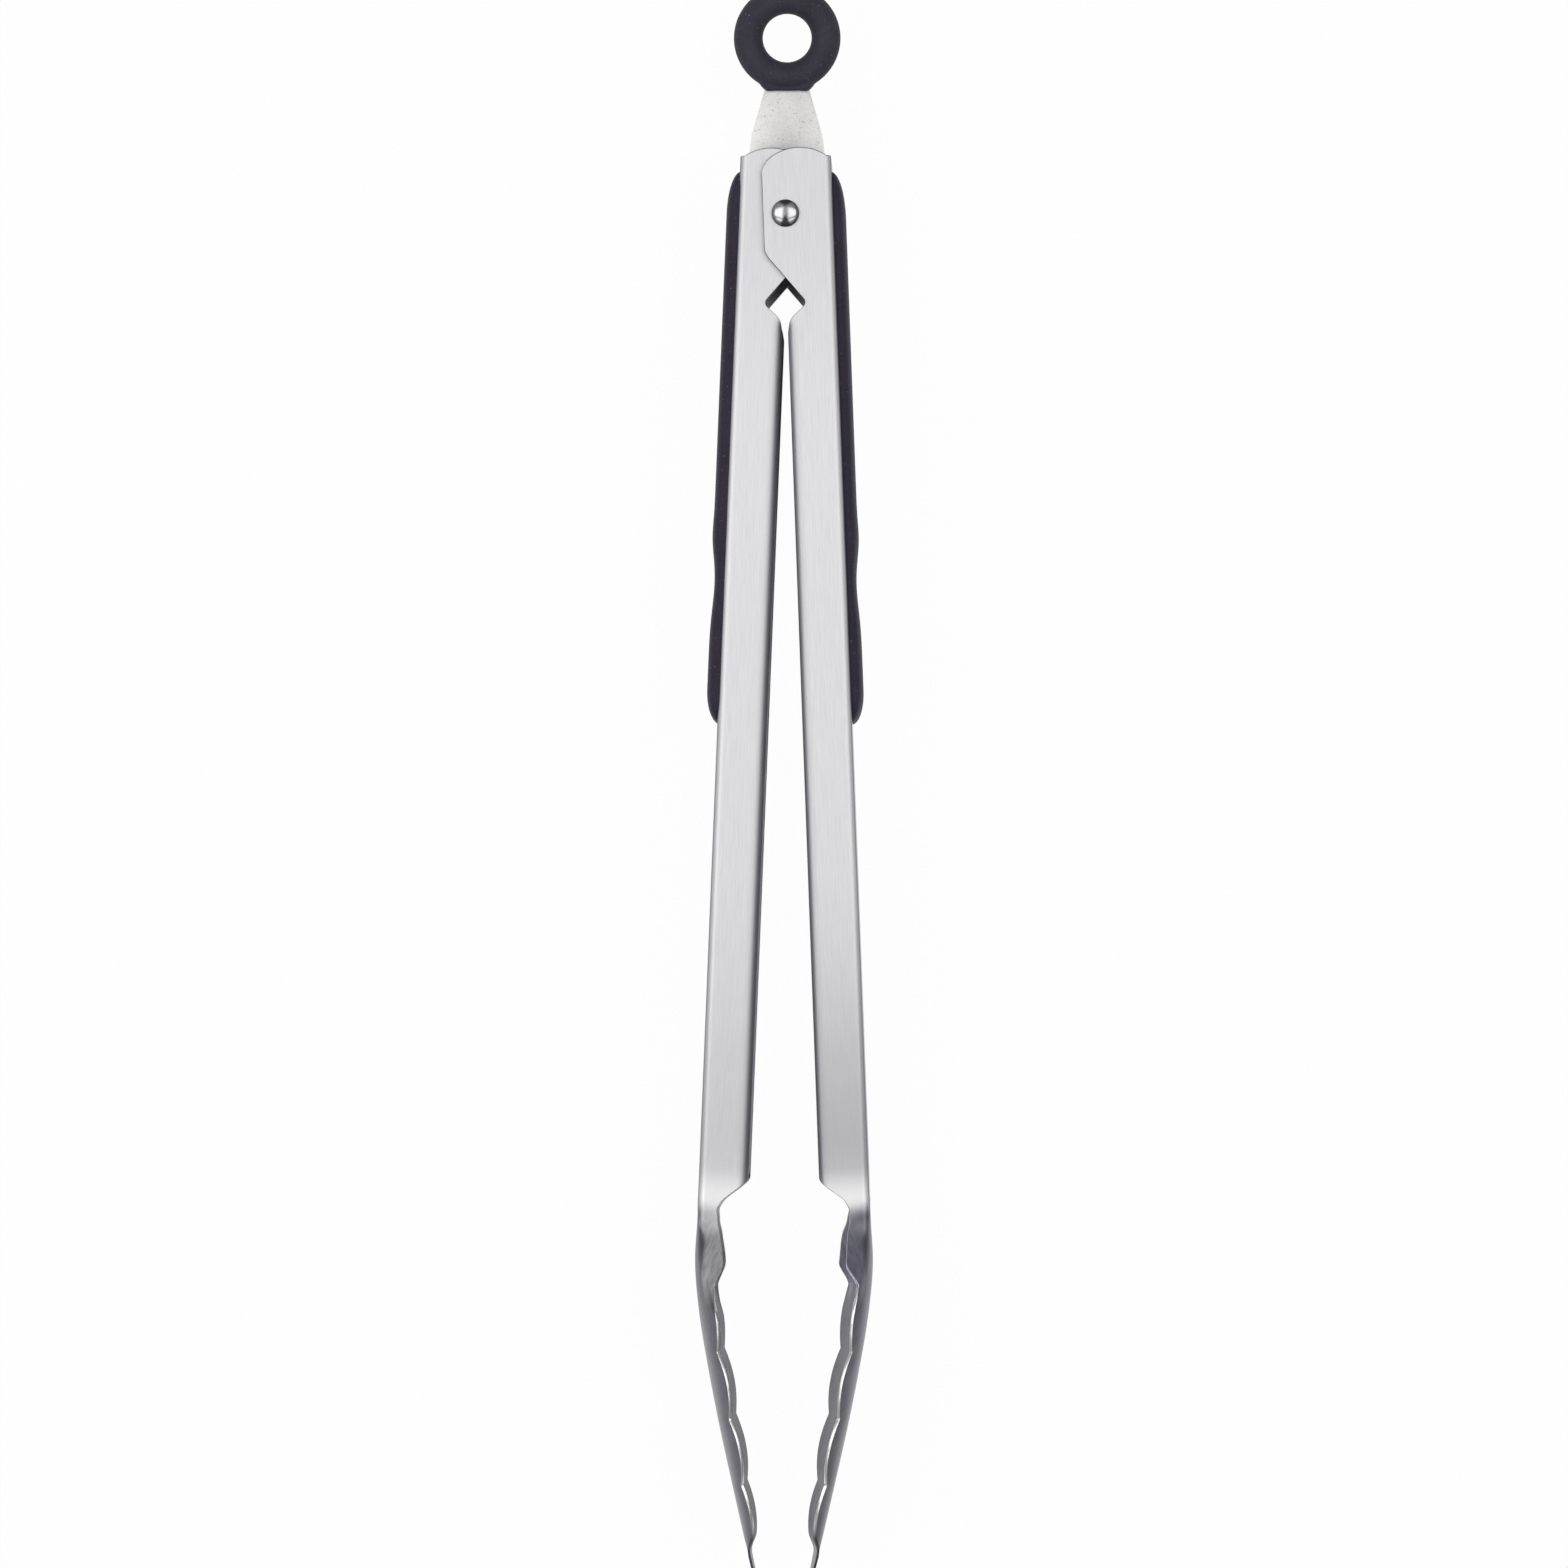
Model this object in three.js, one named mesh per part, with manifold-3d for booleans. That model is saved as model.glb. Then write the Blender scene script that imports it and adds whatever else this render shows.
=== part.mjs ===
// Spring loaded kitchen tongs with a pull-out lock, as a three.js scene graph.
//
// Millimetres, +Z up. The tongs lie on their back: +Y runs from the heads to the pull ring, +X is
// to the right, and the rivet stands along Z. Everything is drawn with the rivet's axis on X = Y = 0
// and the mid-plane of the tongs at Z = 0; the last lines move the group so that its box stands
// centred on the origin.

import * as THREE from 'three';
import { mergeVertices } from 'three/addons/utils/BufferGeometryUtils.js';
import Module from 'manifold-3d';

const wasm = await Module();
wasm.setup();

// ---------------------------------------------------------------- driving dimensions

const clearance = 0.3; // gap that touching pieces keep
const runningGap = 0.15; // gap round the rivet and the bushes

const sheet = 0.9; // steel of the arms
const armReach = 294; // rivet to tip, along an arm
const webTop = 12.2; // rivet to the upper end of the web
const webOffset = 10.2; // rivet axis to the web's outer face
const channelDepth = 22.6; // over the flanges of the right arm, the outer one at the hinge
const bendRadius = 1.6; // outer radius between web and flange
const lipPastCentre = 0.4; // how far the rolled edge passes the rivet's axis, seen from its web
const leftLipRadius = 2.0; // outer radius of the rolled free edge
const rightLipRadius = 1.5;
const lipReturn = 0.5; // flat end of the rolled edge
const restLean = 2.2; // degrees that each arm leans outward, locked
const closeMore = 0.9; // degrees that each arm can still close from there
const openMore = 9.5; // degrees that each arm opens from there

// Ears and window, as distances from the rivet's axis across the arm and along it.
const earPastCentre = 4.8; // rivet axis to the ear's free edge
const earArcRadius = 10.3; // upper edge of the ear
const earArcBeside = 3.25; // rivet axis to that arc's centre, towards the web
const earArcRise = 3.85; // rivet to that arc's centre, upwards
const earArcStart = 0.8; // where that arc begins, inward from the web's outer face
const earCorner = 3.7; // height of the ear's rounded upper corner
const earRiseReach = 14; // length of arm over which the ear's rise dies out
const earFoot = -8.4; // where the ear's free edge ends
const earFootRound = 0.6;
const windowHalfWidth = 3.25; // diamond window between the arms
const windowWidest = -19.2;
const windowFoot = -22.8;
const windowRound = 0.8;
const lipStart = -21.6; // where the free edge starts to roll
const lipRollLength = 3; // length over which it rolls up
const lipGrowth = 5; // length over which it gets its full width

// Head, as distances from the tip, so that it keeps its shape on an arm of another length.
const lipEnd = 87.8; // end of the rolled edge
const lipCut = { fromTip: 85.9, share: 0.5 }; // slanted end of the flange, its start in the lip
const neckSlant = { fromTip: 82.5, inward: 5.4 };
const neckCorner = { fromTip: 81.1, inward: 4.5 };
const firstLobe = [
  { fromTip: 77.4, beyondWeb: 5.5 }, // sheet beyond the flat of the web
  { fromTip: 74.5, beyondWeb: 6.75 },
  { fromTip: 71.6, beyondWeb: 8.6 },
  { fromTip: 68.8, beyondWeb: 10.15 },
  { fromTip: 67.8, beyondWeb: 10.4 },
];
const firstValley = 64.3;
const scallopPitch = 14.1;
const scallopDepth = 1.9;
const scallopCount = 4;
const headHalfWidth = 19.6; // half the developed width of the spoon over its lobes
const narrowing = { fromTip: 62, power: 3.2, bluntness: 0.75 }; // outline of the spoon to its tip
const headRise = 33.0; // degrees of slope of the spoon's wall at its rim
const headHollow = 1.8; // power by which the wall steepens towards the rim
const headFlat = { from: 11.5, to: 6.5 }; // where the hollow runs out into the flat tip
const headRiseStart = 79; // where the channel starts to open into the spoon
const headRiseLength = 7; // length over which one place of the section opens
const headRiseSlant = 1.7; // how much later the flange opens, per girth up it
const headRiseLead = 3; // how much earlier the web opens
const leftHeadTwist = 0; // degrees that the spoon is turned towards the underside
const rightHeadTwist = 3.8;
const headTwistLength = 26; // length over which it turns
const backBendStart = 72.5; // where the spoon's back starts to lean inward
const backSlope = 0.265; // lean of the spoon's back near the tip, inward per length
const backFirstShare = 0.8; // share of that lean that the first bend gives
const backBendLengths = [20, 25];
const backSwell = { fromTip: 70, height: 0.35, halfLength: 8 }; // the back's outward swell at the neck

const rivetRadius = 2.0;
const rivetHeadRadius = 2.95;
const rivetHeadHeight = 1.3;
const rivetTailRadius = 3.0;
const rivetTailHeight = 0.9;
const rivetTailChamfer = { across: 0.5, along: 0.3 };
const rivetHeadRim = 0.2; // straight rim under the dome
const washerRadius = 4.5;
const washerThickness = 0.6;
const bushWall = 1.0;

const springWire = 1.4;
const springTurns = 3.75;
const springLegReach = 22; // rivet to the end of a spring's leg, along the arm
const springLegBow = 0.4; // outward bow of the leg half-way

const plateThickness = 1.2; // lock slide
const plateFoot = -8.6; // rivet to the lower end of the slide, locked
const plateCorner = 1.5;
const bodySideGap = 1.7; // the web's inner face to the slide's body
const bodyTop = 10.5;
const tabShoulder = { y: 13.4, sideGap: 1.05 }; // gap to the web's inner face, which swings inward
const tabFlank = { y: 18.2, sideGap: 1.67 };
const tabNeckHalfWidth = 4.9; // where the tab enters the ring
const tabTop = 27.75;
const tongueHalfWidth = 3.0;
const tongueLength = 3.6;
const lockTravelPerDegree = 1.29; // slide's travel for each degree that an arm opens

const ringRadius = 8.4; // to the middle of its section
const ringSection = 3.13; // radius of its section
const collarHalfWidth = 5.2;
const collarHalfDepth = 1.9;
const collarHeight = 2.6;

const gripTop = 9.1;
const gripFoot = -110.2;
const gripHeight = 2.5; // how far it stands out from the web
const gripHalfWidth = 9.4;
const gripTopRound = 9; // length of its rounded upper end
const gripFootRound = 4;
const gripEdge = { height: 0.8, width: 0.5 }; // chamfer along its long edges
const grooveAt = -79.4; // middle of the finger groove
const grooveDepth = 0.65;
const grooveHalfLength = 11;
const grooveSteepness = 2.2;
const heelSwell = { height: 0.15, from: -80, to: -92 }; // fuller heel below the groove
const coreThickness = 0.9;
const coreHalfWidth = 6.5;
const coreTop = 2;
const coreFoot = -104;
const studRadius = 2.2;
const studAt = [-38, -92]; // places of the studs along the arm
const studHeadRadius = 3.4;
const studHeadHeight = 0.9;
const studHeadTaper = 0.6;

// ---------------------------------------------------------------- materials

const brushedSteel = new THREE.MeshStandardMaterial({ color: 0xc9cbce, metalness: 1, roughness: 0.35 });
const plainSteel = new THREE.MeshStandardMaterial({ color: 0xd2d1cd, metalness: 1, roughness: 0.5 });
const polishedSteel = new THREE.MeshStandardMaterial({ color: 0xd6d7d9, metalness: 1, roughness: 0.15 });
const springSteel = new THREE.MeshStandardMaterial({ color: 0xb3b4b6, metalness: 1, roughness: 0.3 });
const blackRubber = new THREE.MeshStandardMaterial({ color: 0x2b2a33, metalness: 0, roughness: 0.85 });
const blackNylon = new THREE.MeshStandardMaterial({ color: 0x1d1d20, metalness: 0, roughness: 0.6 });

// ---------------------------------------------------------------- small helpers

const roundSides = 24; // sides of a drawn circle
const studSides = 20;

const radians = (degrees) => (degrees * Math.PI) / 180;
const fromTip = (distance) => distance - armReach; // place along the arm of a distance from its tip

function smoothStep(from, to, value) {
  const t = Math.min(Math.max((value - from) / (to - from), 0), 1);
  return t * t * (3 - 2 * t);
}

// Evenly spaced values from one end to the other, both included.
function span(from, to, count) {
  return Array.from({ length: count + 1 }, (_, i) => from + ((to - from) * i) / count);
}

// A closed three.js geometry as a manifold solid, and back.
function toSolid(geometry) {
  const plain = geometry.clone();
  plain.deleteAttribute('normal');
  plain.deleteAttribute('uv');
  const merged = mergeVertices(plain, 1e-5);
  const vertProperties = new Float32Array(merged.attributes.position.array);
  const triVerts = new Uint32Array(merged.index.array);
  return new wasm.Manifold(new wasm.Mesh({ numProp: 3, vertProperties, triVerts }));
}

function toGeometry(solid) {
  const mesh = solid.getMesh();
  const indexed = new THREE.BufferGeometry();
  indexed.setAttribute('position', new THREE.BufferAttribute(mesh.vertProperties, 3));
  indexed.setIndex(new THREE.BufferAttribute(mesh.triVerts, 1));
  const geometry = indexed.toNonIndexed();
  geometry.computeVertexNormals();
  return geometry;
}

// A round bar along Z, round the rivet's axis.
function bar(radius, low, high) {
  const geometry = new THREE.CylinderGeometry(radius, radius, high - low, roundSides);
  geometry.rotateX(Math.PI / 2);
  geometry.translate(0, 0, (low + high) / 2);
  return geometry;
}

// A plate in the X-Y plane between two heights.
function plate(shape, low, high) {
  const geometry = new THREE.ExtrudeGeometry(shape, {
    depth: high - low,
    bevelEnabled: false,
    curveSegments: roundSides / 3,
  });
  geometry.translate(0, 0, low);
  return geometry;
}

function named(name, geometry, material) {
  const mesh = new THREE.Mesh(geometry, material);
  mesh.name = name;
  return mesh;
}

// ---------------------------------------------------------------- the stamped arm
//
// An arm is one sheet. A point of its outer face is found from how far along the arm it is (y) and
// how far round the section it is from the middle of the web (girth). The section is followed by
// its turning angle: 0 along the web, 90 degrees on the flange, 180 degrees at the end of the
// rolled lip, and a gentle rise over the spoon.

const sectionStep = 0.2; // step along the section when it is added up
const normalReach = 0.05; // reach of the differences that give the sheet's normal
const flangeMinimum = 1.8; // flange left beside the bend before the columns crowd together
const lipColumnShare = 0.2; // least share of the flange that the lip's columns get
const lipColumns = [0, 0.3, 0.65, 1];
const scallopRows = 5;
const tipRows = 7;
const tipCrowding = 0.8; // rows crowd towards the tip
const tipGap = 0.05; // the last row's distance from the very tip

const flangeHeight = webOffset + lipPastCentre; // web's outer face to the flange's free edge
const earReach = webOffset + earPastCentre;
const bendGirth = (bendRadius * Math.PI) / 2;

function flatHalf(arm) {
  return arm.depth / 2 - bendRadius;
}

// Girth at a place on the flat flange, given its distance inward from the web's outer face.
function flangeGirth(arm, inward) {
  return flatHalf(arm) + bendGirth + inward - bendRadius;
}

function lipGirth(arm) {
  return flangeGirth(arm, flangeHeight - arm.lipRadius);
}

function fullGirth(arm) {
  return lipGirth(arm) + (arm.lipRadius * Math.PI) / 2 + lipReturn;
}

function channelAngle(arm, y, girth) {
  const quarter = Math.PI / 2;
  const bend = Math.min(Math.max((girth - flatHalf(arm)) / bendRadius, 0), quarter);
  const lip = Math.min(Math.max((girth - lipGirth(arm)) / arm.lipRadius, 0), quarter);
  return bend + lip * smoothStep(lipStart, lipStart - lipRollLength, y);
}

// Half the developed width of the spoon over its lobes.
function spoonWidth(y) {
  const start = fromTip(narrowing.fromTip);
  const reach = Math.min(Math.max((start - y) / (start + armReach), 0), 1);
  return headHalfWidth * (1 - reach ** narrowing.power) ** narrowing.bluntness;
}

function spoonAngle(y, girth) {
  const fade = 1 - smoothStep(fromTip(headFlat.from), fromTip(headFlat.to), y);
  if (fade === 0) {
    return 0;
  }
  return radians(headRise) * fade * (girth / spoonWidth(y)) ** headHollow;
}

// 0 on the channel, 1 on the spoon. The change starts at the web and runs up the flange.
function spoonShare(arm, y, girth) {
  const up = Math.max(girth - flatHalf(arm), 0);
  const start = fromTip(headRiseStart) + headRiseLead - headRiseSlant * up;
  return smoothStep(start, start - headRiseLength, y);
}

function sectionAngle(arm, y, girth) {
  const share = spoonShare(arm, y, girth);
  return (1 - share) * channelAngle(arm, y, girth) + share * spoonAngle(y, girth);
}

// Point of the section, as distance inward from the back and distance from the mid-plane.
function sectionPoint(arm, y, girth) {
  const steps = Math.max(Math.ceil(girth / sectionStep), 1);
  const step = girth / steps;
  let inward = 0;
  let across = 0;
  for (let i = 0; i < steps; i += 1) {
    const angle = sectionAngle(arm, y, (i + 0.5) * step);
    inward += Math.sin(angle) * step;
    across += Math.cos(angle) * step;
  }
  return { inward, across };
}

// How far the arm's back has moved inward from the web's plane.
function backShift(y) {
  const along = Math.max(fromTip(backBendStart) - y, 0);
  const [firstBend, secondBend] = backBendLengths;
  const firstSlope = backFirstShare * backSlope;
  const inFirst = Math.min(along, firstBend);
  const inSecond = Math.min(Math.max(along - firstBend, 0), secondBend);
  const beyond = Math.max(along - firstBend - secondBend, 0);
  const slopeGain = ((backSlope - firstSlope) * inSecond) / secondBend;
  const shift = (firstSlope * inFirst ** 2) / (2 * firstBend) + inSecond * (firstSlope + slopeGain / 2);
  const fromSwell = (y - fromTip(backSwell.fromTip)) / backSwell.halfLength;
  return shift + beyond * backSlope - backSwell.height * Math.exp(-(fromSwell ** 2));
}

// Outer face of an arm as a point of space. side is 1 on the right arm and -1 on the left one.
function facePoint(arm, y, girth) {
  const { inward, across } = sectionPoint(arm, y, Math.abs(girth));
  const z = Math.sign(girth) * across;
  const twistStart = fromTip(headRiseStart);
  const twist = radians(arm.headTwist) * smoothStep(twistStart, twistStart - headTwistLength, y);
  const turnedInward = inward * Math.cos(twist) - z * Math.sin(twist);
  const turnedZ = inward * Math.sin(twist) + z * Math.cos(twist);
  const x = arm.side * (webOffset - backShift(y) - turnedInward);
  return new THREE.Vector3(x, y, turnedZ);
}

// Upper edge of the ear at a distance inward from the web's outer face.
function earTop(inward) {
  const fromCentre = Math.min(Math.max(inward, earArcStart), earReach) - (webOffset - earArcBeside);
  const arc = earArcRise + Math.sqrt(earArcRadius ** 2 - fromCentre ** 2);
  const corner = earCorner / 2;
  const intoCorner = Math.max(inward - (earReach - corner), 0) / corner;
  return arc - corner * (1 - Math.sqrt(Math.max(1 - intoCorner ** 2, 0)));
}

// Free edge of the flange from the ear to the window's foot, inward from the web's outer face.
const windowInward = webOffset - windowHalfWidth;
const flangeEdge = [
  { y: webTop + earCorner, inward: earReach },
  { y: earFoot + earFootRound, inward: earReach },
  { y: earFoot - earFootRound, inward: earReach - earFootRound },
  { y: windowWidest + windowRound, inward: windowInward + windowRound },
  { y: windowWidest, inward: windowInward },
  { y: windowWidest - windowRound, inward: windowInward + windowRound / 2 },
  { y: windowFoot, inward: webOffset },
];

function interpolate(points, y, key) {
  const next = points.findIndex((point) => point.y <= y);
  if (next === -1) {
    return points[points.length - 1][key];
  }
  if (next === 0) {
    return points[0][key];
  }
  const before = points[next - 1];
  const after = points[next];
  const t = (before.y - y) / (before.y - after.y);
  return before[key] + t * (after[key] - before[key]);
}

// Half the developed width of the spoon at its scalloped rim.
function spoonGirth(y) {
  const place = (fromTip(firstValley) - y) / scallopPitch;
  const inLobe = place - Math.floor(place);
  return spoonWidth(y) - scallopDepth * (1 - 4 * inLobe * (1 - inLobe));
}

// Girth of the sheet's free edge along the whole arm.
function edgeGirth(arm, y) {
  const full = fullGirth(arm);
  if (y > fromTip(lipEnd)) {
    const cut = flangeGirth(arm, interpolate(flangeEdge, y, 'inward'));
    return cut + (full - cut) * smoothStep(windowFoot, windowFoot - lipGrowth, y);
  }
  if (y <= fromTip(firstValley)) {
    return spoonGirth(y);
  }
  const neck = [
    { y: fromTip(lipEnd), girth: full },
    { y: fromTip(lipCut.fromTip), girth: lipGirth(arm) + lipCut.share * arm.lipRadius },
    { y: fromTip(neckSlant.fromTip), girth: flangeGirth(arm, neckSlant.inward) },
    { y: fromTip(neckCorner.fromTip), girth: flangeGirth(arm, neckCorner.inward) },
    ...firstLobe.map((station) => ({
      y: fromTip(station.fromTip),
      girth: flatHalf(arm) + station.beyondWeb,
    })),
    { y: fromTip(firstValley), girth: headHalfWidth - scallopDepth },
  ];
  return interpolate(neck, y, 'girth');
}

// Rows of the arm's grid, from the upper end of the web to the tip.
function armRows() {
  const ear = span(webTop, earFoot + earFootRound, 5);
  const window = span(earFoot - earFootRound, windowWidest + windowRound, 3);
  const corner = [windowWidest, windowWidest - windowRound];
  const lip = span(windowFoot, windowFoot - lipGrowth, 4);
  const shaft = span(windowFoot - lipGrowth, fromTip(lipEnd), 4).slice(1);
  const slant = [lipCut, neckSlant, neckCorner].map((station) => fromTip(station.fromTip));
  const opening = span(fromTip(headRiseStart), fromTip(firstLobe[4].fromTip), 6);
  const beforeValley = (fromTip(firstLobe[4].fromTip) + fromTip(firstValley)) / 2;
  const scallops = span(0, scallopCount - 1, scallopCount - 1).flatMap((lobe) => {
    const start = fromTip(firstValley) - lobe * scallopPitch;
    return span(start, start - scallopPitch, scallopRows).slice(0, scallopRows);
  });
  const tipStart = fromTip(firstValley) - scallopCount * scallopPitch;
  const tip = span(0, 1, tipRows).map((t) => tipStart + (tipGap - armReach - tipStart) * t ** tipCrowding);
  const upper = [...ear, ...window, ...corner, ...lip, ...shaft];
  return [...upper, ...slant, ...opening, beforeValley, ...scallops, ...tip];
}

// Half a row of the grid: girths from the middle of the web to the free edge.
function rowGirths(arm, y) {
  const edge = edgeGirth(arm, y);
  const flat = flatHalf(arm);
  const needed = flat + bendGirth + flangeMinimum;
  const shrink = Math.min(edge / needed, 1);
  const fixed = [0.5 * flat, flat, flat + bendGirth / 2, flat + bendGirth].map((girth) => girth * shrink);
  const last = fixed[fixed.length - 1];
  const lipAt = Math.min(lipGirth(arm), edge - lipColumnShare * (edge - last));
  const lip = lipColumns.map((t) => lipAt + t * (edge - lipAt));
  return [0, ...fixed, (last + lipAt) / 2, ...lip];
}

// Near the hinge the rows rise with the ear's rounded upper edge.
function raisedRow(arm, y, girth) {
  const inward = girth - flangeGirth(arm, 0);
  if (inward < bendRadius) {
    return y;
  }
  const fall = 1 - smoothStep(0, earRiseReach, webTop - y);
  return y + (earTop(inward) - webTop) * fall;
}

// Closes a sheet: outer grid, inner grid, both long edges and both ends.
function closedSheet(outer, inner, flip) {
  const rows = outer.length;
  const columns = outer[0].length;
  const positions = [...outer.flat(), ...inner.flat()].flatMap((point) => point.toArray());
  const outerAt = (row, column) => row * columns + column;
  const innerAt = (row, column) => rows * columns + row * columns + column;
  const triangles = [];
  const quad = (a, b, c, d) => {
    const pair = flip ? [a, c, b, a, d, c] : [a, b, c, a, c, d];
    triangles.push(...pair);
  };
  for (let row = 0; row < rows - 1; row += 1) {
    for (let column = 0; column < columns - 1; column += 1) {
      quad(
        outerAt(row, column),
        outerAt(row + 1, column),
        outerAt(row + 1, column + 1),
        outerAt(row, column + 1),
      );
      quad(
        innerAt(row, column),
        innerAt(row, column + 1),
        innerAt(row + 1, column + 1),
        innerAt(row + 1, column),
      );
    }
    const last = columns - 1;
    quad(outerAt(row, 0), innerAt(row, 0), innerAt(row + 1, 0), outerAt(row + 1, 0));
    quad(outerAt(row, last), outerAt(row + 1, last), innerAt(row + 1, last), innerAt(row, last));
  }
  for (let column = 0; column < columns - 1; column += 1) {
    const end = rows - 1;
    quad(outerAt(0, column), outerAt(0, column + 1), innerAt(0, column + 1), innerAt(0, column));
    quad(outerAt(end, column), innerAt(end, column), innerAt(end, column + 1), outerAt(end, column + 1));
  }
  const geometry = new THREE.BufferGeometry();
  geometry.setAttribute('position', new THREE.Float32BufferAttribute(positions, 3));
  geometry.setIndex(triangles);
  return geometry;
}

function armSheet(arm) {
  const outer = [];
  const inner = [];
  for (const rowY of armRows()) {
    const half = rowGirths(arm, rowY);
    const girths = [...half.slice(1).reverse().map((girth) => -girth), ...half];
    const outerRow = [];
    const innerRow = [];
    for (const girth of girths) {
      const y = raisedRow(arm, rowY, Math.abs(girth));
      const point = facePoint(arm, y, girth);
      const along = facePoint(arm, y - normalReach, girth).sub(facePoint(arm, y + normalReach, girth));
      const around = facePoint(arm, y, girth + normalReach).sub(facePoint(arm, y, girth - normalReach));
      const normal = along.cross(around).multiplyScalar(arm.side).normalize();
      outerRow.push(point);
      innerRow.push(point.clone().addScaledVector(normal, sheet));
    }
    outer.push(outerRow);
    inner.push(innerRow);
  }
  return closedSheet(outer, inner, arm.side > 0);
}

// The arm with its rivet holes and the holes for the grip's studs.
function armGeometry(arm) {
  let solid = toSolid(armSheet(arm));
  const rivetHole = bar(rivetRadius + runningGap, -channelDepth, channelDepth);
  solid = solid.subtract(toSolid(rivetHole));
  for (const y of studAt) {
    const radius = studRadius + clearance;
    const hole = new THREE.CylinderGeometry(radius, radius, 4 * sheet, studSides);
    hole.rotateZ(Math.PI / 2);
    hole.translate(arm.side * webOffset, y, 0);
    solid = solid.subtract(toSolid(hole));
  }
  return toGeometry(solid);
}

// ---------------------------------------------------------------- grips

// How far the grip stands out from the web at a place along the arm.
function gripStand(y) {
  const rise = Math.sqrt(1 - (1 - Math.min((gripTop - y) / gripTopRound, 1)) ** 2);
  const end = Math.min((y - gripFoot) / gripFootRound, 1);
  const round = Math.sqrt(1 - (1 - end) ** 2);
  const fromGroove = (y - grooveAt) / grooveHalfLength;
  const groove = grooveDepth * Math.exp(-grooveSteepness * fromGroove ** 2);
  const heel = heelSwell.height * smoothStep(heelSwell.from, heelSwell.to, y);
  return (gripHeight - groove + heel) * rise * round;
}

const gripThinnest = 0.2;

// Side view of the grip as a shape: x is the height over the web, y runs along the arm.
function gripGeometry(arm) {
  const shape = new THREE.Shape();
  const grooveTop = grooveAt + grooveHalfLength;
  const stations = [
    ...span(gripTop, gripTop - gripTopRound, 5),
    (gripTop + grooveTop) / 2,
    ...span(grooveTop, grooveTop - 2 * grooveHalfLength, 7),
    gripFoot + 2 * gripFootRound,
    ...span(gripFoot + gripFootRound, gripFoot, 4),
  ];
  shape.moveTo(clearance, gripTop);
  for (const y of stations.slice(1, -1)) {
    shape.lineTo(Math.max(gripStand(y), clearance + gripThinnest), y);
  }
  shape.lineTo(clearance, gripFoot);
  shape.closePath();
  const flank = gripHalfWidth - gripEdge.height;
  const skin = new THREE.ExtrudeGeometry(shape, {
    depth: 2 * flank,
    bevelThickness: gripEdge.height,
    bevelSize: gripEdge.width,
    bevelOffset: -gripEdge.width,
    bevelSegments: 2,
  });
  skin.translate(0, 0, -flank);
  const pocket = new THREE.BoxGeometry(
    2 * (coreThickness + 2 * clearance),
    coreTop - coreFoot + 2 * clearance,
    2 * (coreHalfWidth + clearance),
  );
  pocket.translate(0, (coreTop + coreFoot) / 2, 0);
  const solid = toSolid(skin).subtract(toSolid(pocket));
  const geometry = toGeometry(solid);
  return arm.side > 0 ? geometry.translate(webOffset, 0, 0) : mirrored(geometry).translate(-webOffset, 0, 0);
}

// The same geometry on the other side of X = 0, facing out again.
function mirrored(geometry) {
  const copy = geometry.clone().scale(-1, 1, 1);
  const position = copy.attributes.position;
  for (let i = 0; i < position.count; i += 3) {
    const first = new THREE.Vector3().fromBufferAttribute(position, i);
    const second = new THREE.Vector3().fromBufferAttribute(position, i + 1);
    position.setXYZ(i, second.x, second.y, second.z);
    position.setXYZ(i + 1, first.x, first.y, first.z);
  }
  copy.computeVertexNormals();
  return copy;
}

// Hard strip under the skin, with studs that snap in behind the web.
function gripCoreGeometry(arm) {
  const strip = new THREE.BoxGeometry(coreThickness, coreTop - coreFoot, 2 * coreHalfWidth);
  strip.translate(clearance + coreThickness / 2, (coreTop + coreFoot) / 2, 0);
  let solid = toSolid(strip);
  for (const y of studAt) {
    const behind = -sheet - clearance - studHeadHeight;
    const root = clearance + coreThickness / 2;
    const stud = new THREE.CylinderGeometry(studRadius, studRadius, root - behind, studSides);
    stud.rotateZ(Math.PI / 2);
    stud.translate((root + behind) / 2, y, 0);
    const tip = studHeadRadius - studHeadTaper;
    const head = new THREE.CylinderGeometry(studHeadRadius, tip, studHeadHeight, studSides);
    head.rotateZ(Math.PI / 2);
    head.rotateY(Math.PI);
    head.translate(behind + studHeadHeight / 2, y, 0);
    solid = solid.add(toSolid(stud)).add(toSolid(head));
  }
  const geometry = toGeometry(solid);
  return arm.side > 0 ? geometry.translate(webOffset, 0, 0) : mirrored(geometry).translate(-webOffset, 0, 0);
}

// ---------------------------------------------------------------- hinge pieces

const outerFace = channelDepth / 2; // right arm's ears
const innerArmDepth = channelDepth - 2 * (sheet + clearance); // left arm, inside the right one
const hingeInside = innerArmDepth / 2 - sheet; // inner faces of the left arm's ears

function rivetGeometry() {
  const headBase = outerFace + runningGap;
  const dome = span(0, 90, 5).map((degrees) => {
    const t = radians(degrees);
    const height = headBase + rivetHeadRim + rivetHeadHeight * Math.cos(t);
    return new THREE.Vector2(rivetHeadRadius * Math.sin(t), height);
  });
  const tailBase = -outerFace - 2 * runningGap - washerThickness;
  const profile = [
    new THREE.Vector2(0, tailBase - rivetTailHeight),
    new THREE.Vector2(rivetTailRadius - rivetTailChamfer.across, tailBase - rivetTailHeight),
    new THREE.Vector2(rivetTailRadius, tailBase - rivetTailChamfer.along),
    new THREE.Vector2(rivetTailRadius, tailBase),
    new THREE.Vector2(rivetRadius, tailBase),
    new THREE.Vector2(rivetRadius, headBase),
    new THREE.Vector2(rivetHeadRadius, headBase),
    ...dome.reverse(),
  ];
  profile[profile.length - 1].x = 0;
  const geometry = new THREE.LatheGeometry(profile, roundSides);
  return toGeometry(toSolid(geometry.rotateX(Math.PI / 2)));
}

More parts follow.
